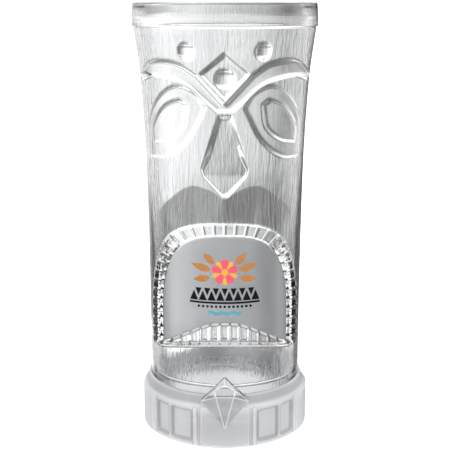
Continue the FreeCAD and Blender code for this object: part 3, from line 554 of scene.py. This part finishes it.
def base_relief(degrees, z):
    """How far the base's wall stands out, by degrees from the front and by height."""
    folded = np.abs((degrees + 90) % 180 - 90)
    foot = rise_soft(z - 0.3, 0.5)
    side_top = rise_soft(BASE_EDGE - z, 0.5)
    lift = BLOCK_LIFT * edge_step(folded, 0, FRONT_BLOCK, 1.0) * rise_soft(BLOCK_TOP - z, 0.6)
    lift = np.maximum(lift, BLOCK_LIFT * edge_step(folded, 90, SIDE_BLOCK, 1.0) * side_top)
    for middle in POSTS:
        lift = np.maximum(lift, POST_LIFT * edge_step(folded, middle, POST_HALF, 0.7) * side_top)
    sunk = np.zeros(lift.shape)
    for low, high in PANELS:
        across = edge_step(folded, (low + high) / 2, (high - low) / 2, 1.0)
        sunk = np.maximum(sunk, across * edge_step(z, PANEL_MIDDLE, PANEL_HALF_HEIGHT, 0.8))
    return (lift - PANEL_DEPTH * sunk) * foot


def base_frost_and_painted_light(degrees, z, lift):
    """Whiteness of the frosting with painted light: painted highlights on raised edges and along the top,
    painted shade in sunk corners and on the shoulder, and darker on the front block.
    """
    slope = np.hypot(np.gradient(lift, axis=1) / COLUMN_STEP, np.gradient(lift, axis=0) / ROW_STEP)
    # Painted light: raised edges are made whiter and sunk edges greyer by the steepness of the relief.
    frost_and_painted_light = FROST + np.clip(soften(slope), 0, 1) * np.where(lift > 0.1, PAINTED_EDGE_LIGHT, -PAINTED_EDGE_LIGHT)
    frost_and_painted_light += FROST_BLOCK * edge_step((degrees + 90) % 180 - 90, 0, FRONT_BLOCK, 1.0)
    frost_and_painted_light += PAINTED_RIM_HIGHLIGHT * edge_step(z, BASE_EDGE - 0.1, 0.7, 0.5)
    return frost_and_painted_light + PAINTED_SHOULDER_SHADE * edge_step(z, SHOULDER_MIDDLE, SHOULDER_HALF, 0.6)


def build_base():
    """Closed ring: outer wall, shoulder, inside with the flange under the cup, and foot."""
    wall = [(BASE_RADIUS - 0.35, 0.1), (BASE_RADIUS - 0.1, 0.35)]
    wall += [(BASE_RADIUS, z) for z in np.arange(0.7, BASE_EDGE, ROW_STEP)]
    rows = np.array(wall + SHOULDER + BASE_INSIDE + FOOT)
    degrees = np.broadcast_to(np.arange(BASE_COLUMNS) * 360.0 / BASE_COLUMNS, (len(rows), BASE_COLUMNS))
    radius = rows[:, :1] * np.ones(BASE_COLUMNS)
    height = rows[:, 1:] * np.ones(BASE_COLUMNS)
    outer = slice(0, len(wall) + LIFTED_SHOULDER_ROWS)
    lift = base_relief(degrees[outer], height[outer])
    radius[outer] += lift
    # The base's whiteness carries painted highlights and painted shade from its relief.
    frost_and_painted_light = np.full(radius.shape, FROST)
    frost_and_painted_light[outer] = base_frost_and_painted_light(degrees[outer], height[outer], lift)
    faces = band(len(rows), BASE_COLUMNS)
    last = (len(rows) - 1) * BASE_COLUMNS
    for column in range(BASE_COLUMNS):
        beside = (column + 1) % BASE_COLUMNS
        faces.append((last + column, last + beside, beside, column))
    base = new_object("base_frosted", around_axis(radius, np.radians(degrees), height), faces)
    base.data.materials.append(frosted_plastic())
    add_attribute(base, "frost_and_painted_light", frost_and_painted_light.clip(0, 1).ravel())
    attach(base, "mug")
    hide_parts("base_shell")


def build_bosses():
    """Screw bosses under the base's flange."""
    made = bmesh.new()
    rows = [(1.0, BOSS_LOW), (2.3, BOSS_LOW), (2.6, BOSS_LOW + 0.3), (2.6, BOSS_HIGH - 0.6), (3.1, BOSS_HIGH),
            (1.0, BOSS_HIGH)]
    turn = np.linspace(0, 2 * math.pi, BOSS_SIDES, endpoint=False)
    for degrees in BOSSES:
        x = BOSS_CIRCLE * math.cos(math.radians(degrees))
        y = BOSS_CIRCLE * math.sin(math.radians(degrees))
        rings = [[made.verts.new(Vector((x + r * math.cos(a), y + r * math.sin(a), z)) * MM) for a in turn]
                 for r, z in rows]
        for low, high in zip(rings, rings[1:] + rings[:1]):
            for side in range(BOSS_SIDES):
                beside = (side + 1) % BOSS_SIDES
                made.faces.new((low[side], low[beside], high[beside], high[side]))
    bmesh.ops.recalc_face_normals(made, faces=made.faces)
    bosses = object_from(made, "base_bosses")
    bosses.data.materials.append(frosted_plastic())
    add_attribute(bosses, "frost_and_painted_light", np.full(len(bosses.data.vertices), 0.5))
    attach(bosses, "mug")


# ---- faceted stone: x and z of its corners, and how far in front of the axis each layer lies ----
GEM_TABLE = {"peak": (0, 28.6), "right": (4.4, 26.4), "foot_right": (3.6, 23.4), "foot_left": (-3.6, 23.4),
             "left": (-4.4, 26.4)}
GEM_OUTLINE = {"top": (0, 31.0), "east": (9.9, 21.2), "bottom": (0, 8.7), "west": (-9.9, 21.2)}
GEM_LAYERS = (("", 37.7, GEM_TABLE), ("edge_", 36.3, GEM_OUTLINE), ("back_", 33.6, GEM_OUTLINE))
GEM_FACETS = [["peak", "right", "foot_right", "foot_left", "left"],
              ["back_top", "back_west", "back_bottom", "back_east"],
              ["edge_top", "edge_east", "right"], ["edge_top", "right", "peak"],
              ["edge_east", "foot_right", "right"], ["edge_east", "edge_bottom", "foot_right"],
              ["edge_bottom", "foot_left", "foot_right"], ["edge_bottom", "edge_west", "foot_left"],
              ["edge_west", "left", "foot_left"], ["edge_west", "edge_top", "left"],
              ["edge_top", "peak", "left"]]
GEM_SIDES = (("top", "east"), ("east", "bottom"), ("bottom", "west"), ("west", "top"))
GEM_BEVEL = 0.26
GEM_CLEAR, GEM_FOGGY, GEM_EDGE_HIGHLIGHTS = range(3)
FOG_BELOW, FOG_IN_FRONT_OF = 21.0, 34.5


def build_gem():
    """Faceted stone on the front block, in one moulding with the base: clear above and foggy below."""
    names = {}
    points = []
    for prefix, depth, spots in GEM_LAYERS:
        for name, (x, z) in spots.items():
            names[prefix + name] = len(points)
            points.append((x * MM, -depth * MM, z * MM))
    sides = [["edge_" + start, "edge_" + end, "back_" + end, "back_" + start] for start, end in GEM_SIDES]
    faces = [[names[corner] for corner in face] for face in GEM_FACETS + sides]
    gem = new_object("base_gem", points, faces, smooth=False)
    made = bmesh.new()
    made.from_mesh(gem.data)
    bmesh.ops.recalc_face_normals(made, faces=made.faces)
    # Painted highlight: the bevel strips take the frosted material at full whiteness, white lines for light
    # caught along the facet edges.
    bmesh.ops.bevel(made, geom=list(made.edges), offset=GEM_BEVEL * MM, segments=2, profile=0.6,
                    affect="EDGES", material=GEM_EDGE_HIGHLIGHTS)
    made.to_mesh(gem.data)
    made.free()
    for look in (gem_plastic(), foggy_plastic(), frosted_plastic()):
        gem.data.materials.append(look)
    for face in gem.data.polygons:
        low = face.center.z < FOG_BELOW * MM and face.center.y < -FOG_IN_FRONT_OF * MM
        if low and face.material_index == GEM_CLEAR:
            face.material_index = GEM_FOGGY
    # Full whiteness for the painted highlights on the stone's edges.
    add_attribute(gem, "frost_and_painted_light", np.ones(len(gem.data.vertices)))
    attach(gem, "mug")


# ---- print on the mouth panel ----
PRINT_LIFT = 0.10
PRINT_LAYER = 0.06
PRINT_THICKNESS = 0.04
PRINT_EDGE = 1.6
FLOWER = (0.0, 74.2)
LEAVES = ((-10, 6.3, 6.6), (18, 6.1, 8.2), (46, 6.2, 6.2))
LEAF_WIDTH = 2.9
LEAF_DROP = 1.2
ZIGZAG_PITCH = 3.55
ZIGZAG_TEETH = 8
UPRIGHT_HALF, UPRIGHT_LOW, UPRIGHT_HIGH = 1.65, 62.3, 66.4
HANGING_HALF, HANGING_LOW, HANGING_HIGH = 1.25, 64.3, 67.5
BAR_HALF_WIDTH, BAR_LOW, BAR_HIGH = 14.2, 61.0, 61.8
DOT_LEVEL, DOT_REACH, DOT_PITCH = 59.8, 10.5, 1.75
WAVE_LEVEL, WAVE_REACH = 57.1, 6.8
CORAL = (0.74, 0.085, 0.13)
YELLOW = (0.86, 0.36, 0.03)
BROWN = (0.40, 0.17, 0.05)
BLACK = (0.004, 0.004, 0.005)
TEAL = (0.08, 0.31, 0.37)


def printed(name, outlines, colour, layer=0):
    """Ink shapes drawn in the front view, laid on the panel as thin closed sheets, later colours on top."""
    made = bmesh.new()
    for outline in outlines:
        made.faces.new([made.verts.new((x, 0, z)) for x, z in outline])
    bmesh.ops.triangulate(made, faces=made.faces)
    long = [edge for edge in made.edges if edge.calc_length() > PRINT_EDGE]
    while long:
        bmesh.ops.subdivide_edges(made, edges=long, cuts=1)
        bmesh.ops.triangulate(made, faces=made.faces)
        long = [edge for edge in made.edges if edge.calc_length() > PRINT_EDGE]
    bmesh.ops.recalc_face_normals(made, faces=made.faces)
    for vert in made.verts:
        x, z = vert.co.x, vert.co.z
        radius = float(outer_radius(z)) - MOUTH_DEPTH + PRINT_LIFT + PRINT_LAYER * layer
        vert.co = Vector((x, -math.sqrt(radius ** 2 - x ** 2), z)) * MM
    bmesh.ops.solidify(made, geom=list(made.faces), thickness=PRINT_THICKNESS * MM)
    bmesh.ops.recalc_face_normals(made, faces=made.faces)
    piece = object_from(made, name)
    piece.data.materials.append(ink(name, colour))
    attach(piece, "mug")


def placed(start, degrees, spots):
    """Moves spots, given as along and across, to a start and a direction in the front view."""
    turn = math.radians(degrees)
    cos, sin = math.cos(turn), math.sin(turn)
    return [(start[0] + u * cos - v * sin, start[1] + u * sin + v * cos) for u, v in spots]


def leaf_shape(start, degrees, length, steps=9):
    """Pointed leaf from a place outwards, widest before its middle."""
    side = [(number / steps * length, LEAF_WIDTH / 2 * math.sin(math.pi * (number / steps) ** 0.8))
            for number in range(1, steps)]
    return placed(start, degrees, [(0, 0)] + side + [(length, 0)] + [(u, -v) for u, v in reversed(side)])


def circle_shape(centre, radius, steps=14):
    return [(centre[0] + radius * math.cos(a), centre[1] + radius * math.sin(a))
            for a in np.linspace(0, 2 * math.pi, steps, endpoint=False)]


def petal_shape(centre, degrees, near, far, width, steps=16):
    """Rounded petal, wider towards its tip."""
    turn = np.linspace(-math.pi, math.pi, steps, endpoint=False)
    along = (near + far) / 2 + (far - near) / 2 * np.cos(turn)
    across = width / 2 * np.sin(turn) * (0.72 + 0.28 * np.cos(turn))
    return placed(centre, degrees, zip(along, across))


def wave_shape(reach, level, swing, thickness, waves, steps=40):
    x = np.linspace(-reach, reach, steps)
    middle = level + swing * np.sin((x + reach) / (2 * reach) * 2 * math.pi * waves)
    top = list(zip(x, middle + thickness / 2))
    return top + list(zip(x[::-1], (middle - thickness / 2)[::-1]))


def zigzag_shapes():
    """A bar under a row of triangles, with a row of upside-down triangles between their points."""
    shapes = [[(-BAR_HALF_WIDTH, BAR_LOW), (BAR_HALF_WIDTH, BAR_LOW), (BAR_HALF_WIDTH, BAR_HIGH),
               (-BAR_HALF_WIDTH, BAR_HIGH)]]
    for number in range(ZIGZAG_TEETH):
        x = (number - (ZIGZAG_TEETH - 1) / 2) * ZIGZAG_PITCH
        shapes.append([(x - UPRIGHT_HALF, UPRIGHT_LOW), (x + UPRIGHT_HALF, UPRIGHT_LOW), (x, UPRIGHT_HIGH)])
    for number in range(1, ZIGZAG_TEETH):
        x = (number - ZIGZAG_TEETH / 2) * ZIGZAG_PITCH
        shapes.append([(x - HANGING_HALF, HANGING_HIGH), (x, HANGING_LOW), (x + HANGING_HALF, HANGING_HIGH)])
    return shapes


def build_print():
    """A generic flower between two sprays of leaves, over a zigzag band, a row of dots and a wave."""
    fifths = range(0, 360, 72)
    printed("print_stamens", [petal_shape(FLOWER, 54 + turn, 2.0, 5.3, 2.0) for turn in fifths], YELLOW)
    printed("print_petals", [petal_shape(FLOWER, 90 + turn, 1.0, 5.4, 3.9) for turn in fifths], CORAL, 1)
    printed("print_flower_centre", [circle_shape(FLOWER, 1.35)], YELLOW, 2)
    leaves = []
    for degrees, start, length in LEAVES:
        for side in (degrees, 180 - degrees):
            foot = placed((FLOWER[0], FLOWER[1] - LEAF_DROP), side, [(start, 0)])[0]
            leaves.append(leaf_shape(foot, side, length))
    printed("print_leaves", leaves, BROWN)
    printed("print_band", zigzag_shapes(), BLACK)
    dots = np.arange(-DOT_REACH, DOT_REACH + 0.1, DOT_PITCH)
    printed("print_dots", [circle_shape((x, DOT_LEVEL), 0.55, 8) for x in dots], BLACK)
    printed("print_wave", [wave_shape(WAVE_REACH, WAVE_LEVEL, 0.35, 1.3, 3)], TEAL)


# ---- materials ----
def material(name):
    made = bpy.data.materials.new(name)
    made.use_nodes = True
    tree = made.node_tree
    return made, tree, tree.nodes["Principled BSDF"]


def node(tree, kind, **settings):
    made = tree.nodes.new(kind)
    for key, value in settings.items():
        setattr(made, key, value)
    return made


def feed(tree, socket, value):
    """Links an output to a socket, or sets a plain number on it."""
    if isinstance(value, (int, float)):
        socket.default_value = value
    else:
        tree.links.new(value, socket)


def stretched(tree, across, along=None):
    """Object coordinates scaled so that a noise runs in streaks up the wall, or the same every way."""
    place = node(tree, "ShaderNodeTexCoord")
    scale = node(tree, "ShaderNodeMapping")
    scale.inputs["Scale"].default_value = (across, across, along or across)
    tree.links.new(place.outputs["Object"], scale.inputs["Vector"])
    return scale.outputs["Vector"]


def noise(tree, vector, detail=3.0, roughness=0.55):
    made = node(tree, "ShaderNodeTexNoise")
    made.inputs["Scale"].default_value = 1.0
    made.inputs["Detail"].default_value = detail
    made.inputs["Roughness"].default_value = roughness
    tree.links.new(vector, made.inputs["Vector"])
    return made.outputs["Fac"]


def ramp(tree, fac, stops):
    made = node(tree, "ShaderNodeValToRGB")
    elements = made.color_ramp.elements
    while len(elements) < len(stops):
        elements.new(0.5)
    for element, (position, colour) in zip(elements, stops):
        element.position = position
        element.color = colour
    tree.links.new(fac, made.inputs["Fac"])
    return made.outputs["Color"]


def vary(tree, shader, socket, fac, low, high):
    """Varies a socket between two colours or two numbers with a noise."""
    if isinstance(low, float):
        low, high = grey(low), grey(high)
    tree.links.new(ramp(tree, fac, [(0.3, low), (0.7, high)]), shader.inputs[socket])


def grey(value):
    return (value, value, value, 1)


def shaded(colour, amount):
    return tuple(min(part * amount, 1.0) for part in colour) + (1,)


def bump(tree, shader, height, strength, distance):
    made = node(tree, "ShaderNodeBump")
    made.inputs["Strength"].default_value = strength
    made.inputs["Distance"].default_value = distance
    tree.links.new(height, made.inputs["Height"])
    tree.links.new(made.outputs["Normal"], shader.inputs["Normal"])


def mixed(tree, a, b, fac):
    made = node(tree, "ShaderNodeMix", data_type="FLOAT")
    for socket, value in ((0, fac), (2, a), (3, b)):
        feed(tree, made.inputs[socket], value)
    return made.outputs[0]


def maths(tree, operation, a, b=None):
    made = node(tree, "ShaderNodeMath", operation=operation)
    feed(tree, made.inputs[0], a)
    if b is not None:
        feed(tree, made.inputs[1], b)
    return made.outputs[0]


def clear_plastic():
    """Clear moulded plastic with the mould's wood grain: fine streaks and deeper cracks up the wall."""
    made, tree, shader = material("clear_grained_plastic")
    shader.inputs["Base Color"].default_value = (0.99, 0.995, 1.0, 1)
    shader.inputs["Transmission Weight"].default_value = 1.0
    shader.inputs["IOR"].default_value = CLEAR_IOR
    fine = noise(tree, stretched(tree, 1600, 170), 2.0, 0.5)
    cracks = noise(tree, stretched(tree, 900, 45), 2.0, 0.5)
    lines = ramp(tree, cracks, [(0.40, grey(0.0)), (0.50, grey(1.0)), (0.60, grey(0.35))])
    amount = node(tree, "ShaderNodeAttribute", attribute_name="grain")
    height = maths(tree, "MULTIPLY", mixed(tree, fine, lines, 0.4), amount.outputs["Fac"])
    bump(tree, shader, height, 1.0, 0.07 * MM)
    haze = ramp(tree, fine, [(0.35, grey(0.0)), (0.7, grey(0.05))])
    tree.links.new(haze, shader.inputs["Roughness"])
    return made


def panel_plastic():
    """Smooth satin window inside the mouth, where the print goes."""
    made, tree, shader = material("satin_mouth_panel")
    patches = noise(tree, stretched(tree, 75, 12), 1.0)
    vary(tree, shader, "Base Color", patches, (0.55, 0.57, 0.60, 1), (0.70, 0.715, 0.74, 1))
    shader.inputs["Transmission Weight"].default_value = 0.9
    shader.inputs["IOR"].default_value = 1.52
    vary(tree, shader, "Roughness", noise(tree, stretched(tree, 160, 60)), 0.31, 0.38)
    bump(tree, shader, noise(tree, stretched(tree, 5000), 2.0), 0.3, 0.01 * MM)
    return made


def frosted_plastic():
    """Frosted base: its attribute of frost and painted light takes the colour from painted grey shade in the
    hollows to painted white highlights on the edges.
    """
    made, tree, shader = material("frosted_base_plastic")
    frost_and_painted_light = node(tree, "ShaderNodeAttribute", attribute_name="frost_and_painted_light").outputs["Fac"]
    # Painted shade and painted highlights: grey for the shaded hollows, white for the lit edges.
    stops = [(0.0, (0.55, 0.56, 0.59, 1)), (0.5, (0.92, 0.925, 0.94, 1)), (1.0, grey(1.0))]
    tree.links.new(ramp(tree, frost_and_painted_light, stops), shader.inputs["Base Color"])
    shader.inputs["Transmission Weight"].default_value = 0.6
    shader.inputs["IOR"].default_value = 1.50
    vary(tree, shader, "Roughness", noise(tree, stretched(tree, 120), 4.0), 0.30, 0.36)
    bump(tree, shader, noise(tree, stretched(tree, 4000)), 0.35, 0.02 * MM)
    return made


def ink(name, colour):
    """Printed ink with faint speckle and a soft sheen."""
    made, tree, shader = material(name)
    cloud = noise(tree, stretched(tree, 900))
    vary(tree, shader, "Base Color", cloud, shaded(colour, 0.85), shaded(colour, 1.1))
    vary(tree, shader, "Roughness", cloud, 0.42, 0.55)
    shader.inputs["Specular IOR Level"].default_value = 0.15
    bump(tree, shader, cloud, 0.3, 0.01 * MM)
    return made


def gem_plastic():
    made, tree, shader = material("clear_gem_plastic")
    shader.inputs["Base Color"].default_value = (0.98, 0.985, 1.0, 1)
    shader.inputs["Transmission Weight"].default_value = 1.0
    shader.inputs["IOR"].default_value = 1.52
    cloud = noise(tree, stretched(tree, 300))
    vary(tree, shader, "Roughness", cloud, 0.03, 0.12)
    bump(tree, shader, cloud, 0.2, 0.03 * MM)
    return made


def foggy_plastic():
    """Frosted lower half of the faceted stone."""
    made, tree, shader = material("foggy_gem_plastic")
    shader.inputs["Transmission Weight"].default_value = 0.5
    cloud = noise(tree, stretched(tree, 500, 250))
    vary(tree, shader, "Base Color", cloud, (0.42, 0.425, 0.45, 1), (0.58, 0.585, 0.61, 1))
    vary(tree, shader, "Roughness", cloud, 0.31, 0.40)
    bump(tree, shader, cloud, 0.2, 0.03 * MM)
    return made


def moulded(name, colour, roughness, painted_glow=0.0):
    """Opaque or milky moulded plastic with a fine spark texture, and an optional painted glow."""
    made, tree, shader = material(name)
    cloud = noise(tree, stretched(tree, 90), 4.0)
    vary(tree, shader, "Base Color", cloud, shaded(colour, 0.9), shaded(colour, 1.05))
    speck = noise(tree, stretched(tree, 2500), 2.0)
    vary(tree, shader, "Roughness", speck, roughness * 0.85, min(roughness * 1.2, 1.0))
    bump(tree, shader, speck, 0.5, 0.02 * MM)
    # Painted glow: emission in the plastic's own colour, though the part is no lamp.
    shader.inputs["Emission Color"].default_value = colour + (1,)
    shader.inputs["Emission Strength"].default_value = painted_glow
    return made


def metal(name, colour, roughness):
    made, tree, shader = material(name)
    shader.inputs["Metallic"].default_value = 1.0
    cloud = noise(tree, stretched(tree, 400), 4.0)
    vary(tree, shader, "Base Color", cloud, shaded(colour, 0.8), shaded(colour, 1.0))
    vary(tree, shader, "Roughness", cloud, roughness * 1.4, roughness * 0.8)
    bump(tree, shader, noise(tree, stretched(tree, 3000, 800), 2.0), 0.3, 0.01 * MM)
    return made


# Painted glow: emission on the milky disc, which is no lamp, stands in for light scattered up through the
# clear floor.
DIFFUSER_PAINTED_GLOW = 0.22


def finish_nodes():
    """Materials of the CAD nodes that stay as they are."""
    cover = moulded("cover_plastic", (0.80, 0.81, 0.82), 0.42)
    steel = metal("screw_steel", (0.62, 0.62, 0.63), 0.3)
    can = metal("cell_steel", (0.78, 0.78, 0.79), 0.18)
    brass = metal("contact_metal", (0.80, 0.74, 0.58), 0.25)
    dark = moulded("switch_plastic", (0.05, 0.05, 0.055), 0.4)
    looks = {
        "light_diffuser": moulded("milky_diffuser_painted_glow", (0.97, 0.97, 0.98), 0.5, DIFFUSER_PAINTED_GLOW),
        "bottom_cover": cover, "battery_cap": cover,
        "cover_screws": steel, "board_screws": steel,
        "circuit_board": moulded("board_white", (0.82, 0.84, 0.82), 0.35),
        "led_red": moulded("led_red_lens", (0.75, 0.22, 0.2), 0.2),
        "led_green": moulded("led_green_lens", (0.28, 0.68, 0.33), 0.2),
        "led_blue": moulded("led_blue_lens", (0.22, 0.36, 0.76), 0.2),
        "controller_chip": dark, "switch_body": dark,
        "led_resistors": moulded("resistor_black", (0.06, 0.06, 0.07), 0.35),
        "switch_plunger": moulded("plunger_plastic", (0.22, 0.22, 0.24), 0.4),
        "push_button": moulded("button_plastic", (0.5, 0.52, 0.55), 0.4),
        "coin_cell_upper": can, "coin_cell_lower": can,
        "positive_contact": brass, "negative_contact": brass,
        "cap_seal": moulded("seal_rubber", (0.06, 0.06, 0.065), 0.65),
    }
    for name, look in looks.items():
        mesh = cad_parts[name].data
        mesh.materials.clear()
        mesh.materials.append(look)


# ---- stage, light and camera ----
# Brightness round the horizon, repeated every quarter turn: degrees to the right of straight ahead, and
# value. The four bright stretches are the studio's windows.
WINDOW_LIGHT = 1.2
WINDOWS = [(-45, 0.90), (-20, 0.97), (-9, 0.93), (-3, 0.77), (4, 0.48), (9, 0.36), (14, 0.09), (25, 0.07),
           (33, 0.60), (45, 0.90)]
SKY_LIGHT = 1.4
FLOOR_SIZE = 7900.0
BACKDROP_RADIUS = 4000.0


def build_stage():
    """Pale floor and white backdrop. Neither is seen through the cup, which shows the world's light."""
    bpy.ops.mesh.primitive_plane_add(size=FLOOR_SIZE * MM, location=(0, 0, 0))
    floor = bpy.context.object
    floor.name = "floor"
    made, tree, shader = material("floor_white")
    shader.inputs["Base Color"].default_value = grey(0.85)
    shader.inputs["Roughness"].default_value = 0.9
    shader.inputs["Emission Color"].default_value = grey(1.0)
    shader.inputs["Emission Strength"].default_value = 0.6
    floor.data.materials.append(made)
    floor.visible_transmission = False
    floor.visible_glossy = False
    bpy.ops.mesh.primitive_uv_sphere_add(radius=BACKDROP_RADIUS * MM, segments=48, ring_count=24)
    backdrop = bpy.context.object
    backdrop.name = "backdrop"
    made, tree, shader = material("backdrop_white")
    shader.inputs["Base Color"].default_value = grey(1.0)
    shader.inputs["Emission Color"].default_value = grey(1.0)
    shader.inputs["Emission Strength"].default_value = 1.0
    backdrop.data.materials.append(made)
    for way in ("diffuse", "glossy", "transmission", "shadow", "volume_scatter"):
        setattr(backdrop, "visible_" + way, False)


def rising(tree, value, low, high, to_low, to_high):
    """Smooth step of a height over the horizon, given in degrees, from one brightness to another."""
    made = node(tree, "ShaderNodeMapRange", interpolation_type="SMOOTHSTEP")
    tree.links.new(value, made.inputs["Value"])
    made.inputs["From Min"].default_value = math.radians(low)
    made.inputs["From Max"].default_value = math.radians(high)
    made.inputs["To Min"].default_value = to_low
    made.inputs["To Max"].default_value = to_high
    return made.outputs[0]


def build_world():
    """Light by direction: bright sky, four windows round the horizon, a grey table with pale edges below."""
    world = bpy.data.worlds.new("studio")
    bpy.context.scene.world = world
    world.use_nodes = True
    tree = world.node_tree
    back = tree.nodes["Background"]
    back.inputs["Color"].default_value = grey(1.0)
    split = node(tree, "ShaderNodeSeparateXYZ")
    tree.links.new(node(tree, "ShaderNodeTexCoord").outputs["Generated"], split.inputs[0])
    height = maths(tree, "ARCSINE", split.outputs[2])
    around = maths(tree, "ARCTAN2", split.outputs[0], split.outputs[1])
    quarter = maths(tree, "FRACT", maths(tree, "ADD", maths(tree, "DIVIDE", around, math.pi / 2), 0.5))
    stops = [((degrees + 45) / 90, grey(value)) for degrees, value in WINDOWS]
    windows = maths(tree, "MULTIPLY", ramp(tree, quarter, stops), WINDOW_LIGHT)
    table = rising(tree, height, -30, -14.5, 0.16, 0.22)
    far_edge = rising(tree, height, -14.5, -11.5, 0.0, 0.28)
    strip = maths(tree, "MULTIPLY", rising(tree, height, -22, -20.5, 0.0, 1.0),
                  rising(tree, height, -18.2, -17.4, 0.45, 0.0))
    table = maths(tree, "ADD", maths(tree, "ADD", table, far_edge), strip)
    lit = maths(tree, "POWER", maths(tree, "DIVIDE", windows, 0.75), 2.0)
    table = maths(tree, "MULTIPLY", table, maths(tree, "MAXIMUM", lit, 0.35))
    underneath = rising(tree, height, -48, -36, 0.9, 0.0)
    horizon = rising(tree, height, -10.8, -8.4, 0.0, 1.0)
    sky = rising(tree, height, 4, 13, 0.0, 1.0)
    room = mixed(tree, maths(tree, "ADD", table, underneath), windows, horizon)
    light = mixed(tree, room, SKY_LIGHT, sky)
    tree.links.new(light, back.inputs["Strength"])


CAMERA_DISTANCE = 425.6
CAMERA_ASIDE = 0.1
CAMERA_TILT = math.radians(12.357)


def build_camera():
    """Level with the rim and tilted down, close enough to show the front of the base."""
    data = bpy.data.cameras.new("camera")
    data.sensor_width = 36.0
    data.lens = 81.4
    data.dof.use_dof = False
    camera = bpy.data.objects.new("camera", data)
    camera.location = (CAMERA_ASIDE * MM, -CAMERA_DISTANCE * MM, TOP * MM)
    camera.rotation_euler = (math.pi / 2 - CAMERA_TILT, 0, 0)
    bpy.context.scene.collection.objects.link(camera)
    bpy.context.scene.camera = camera


bpy.context.scene.view_settings.view_transform = "Standard"
build_cup()
build_base()
build_bosses()
build_gem()
build_print()
finish_nodes()
build_stage()
build_world()
build_camera()
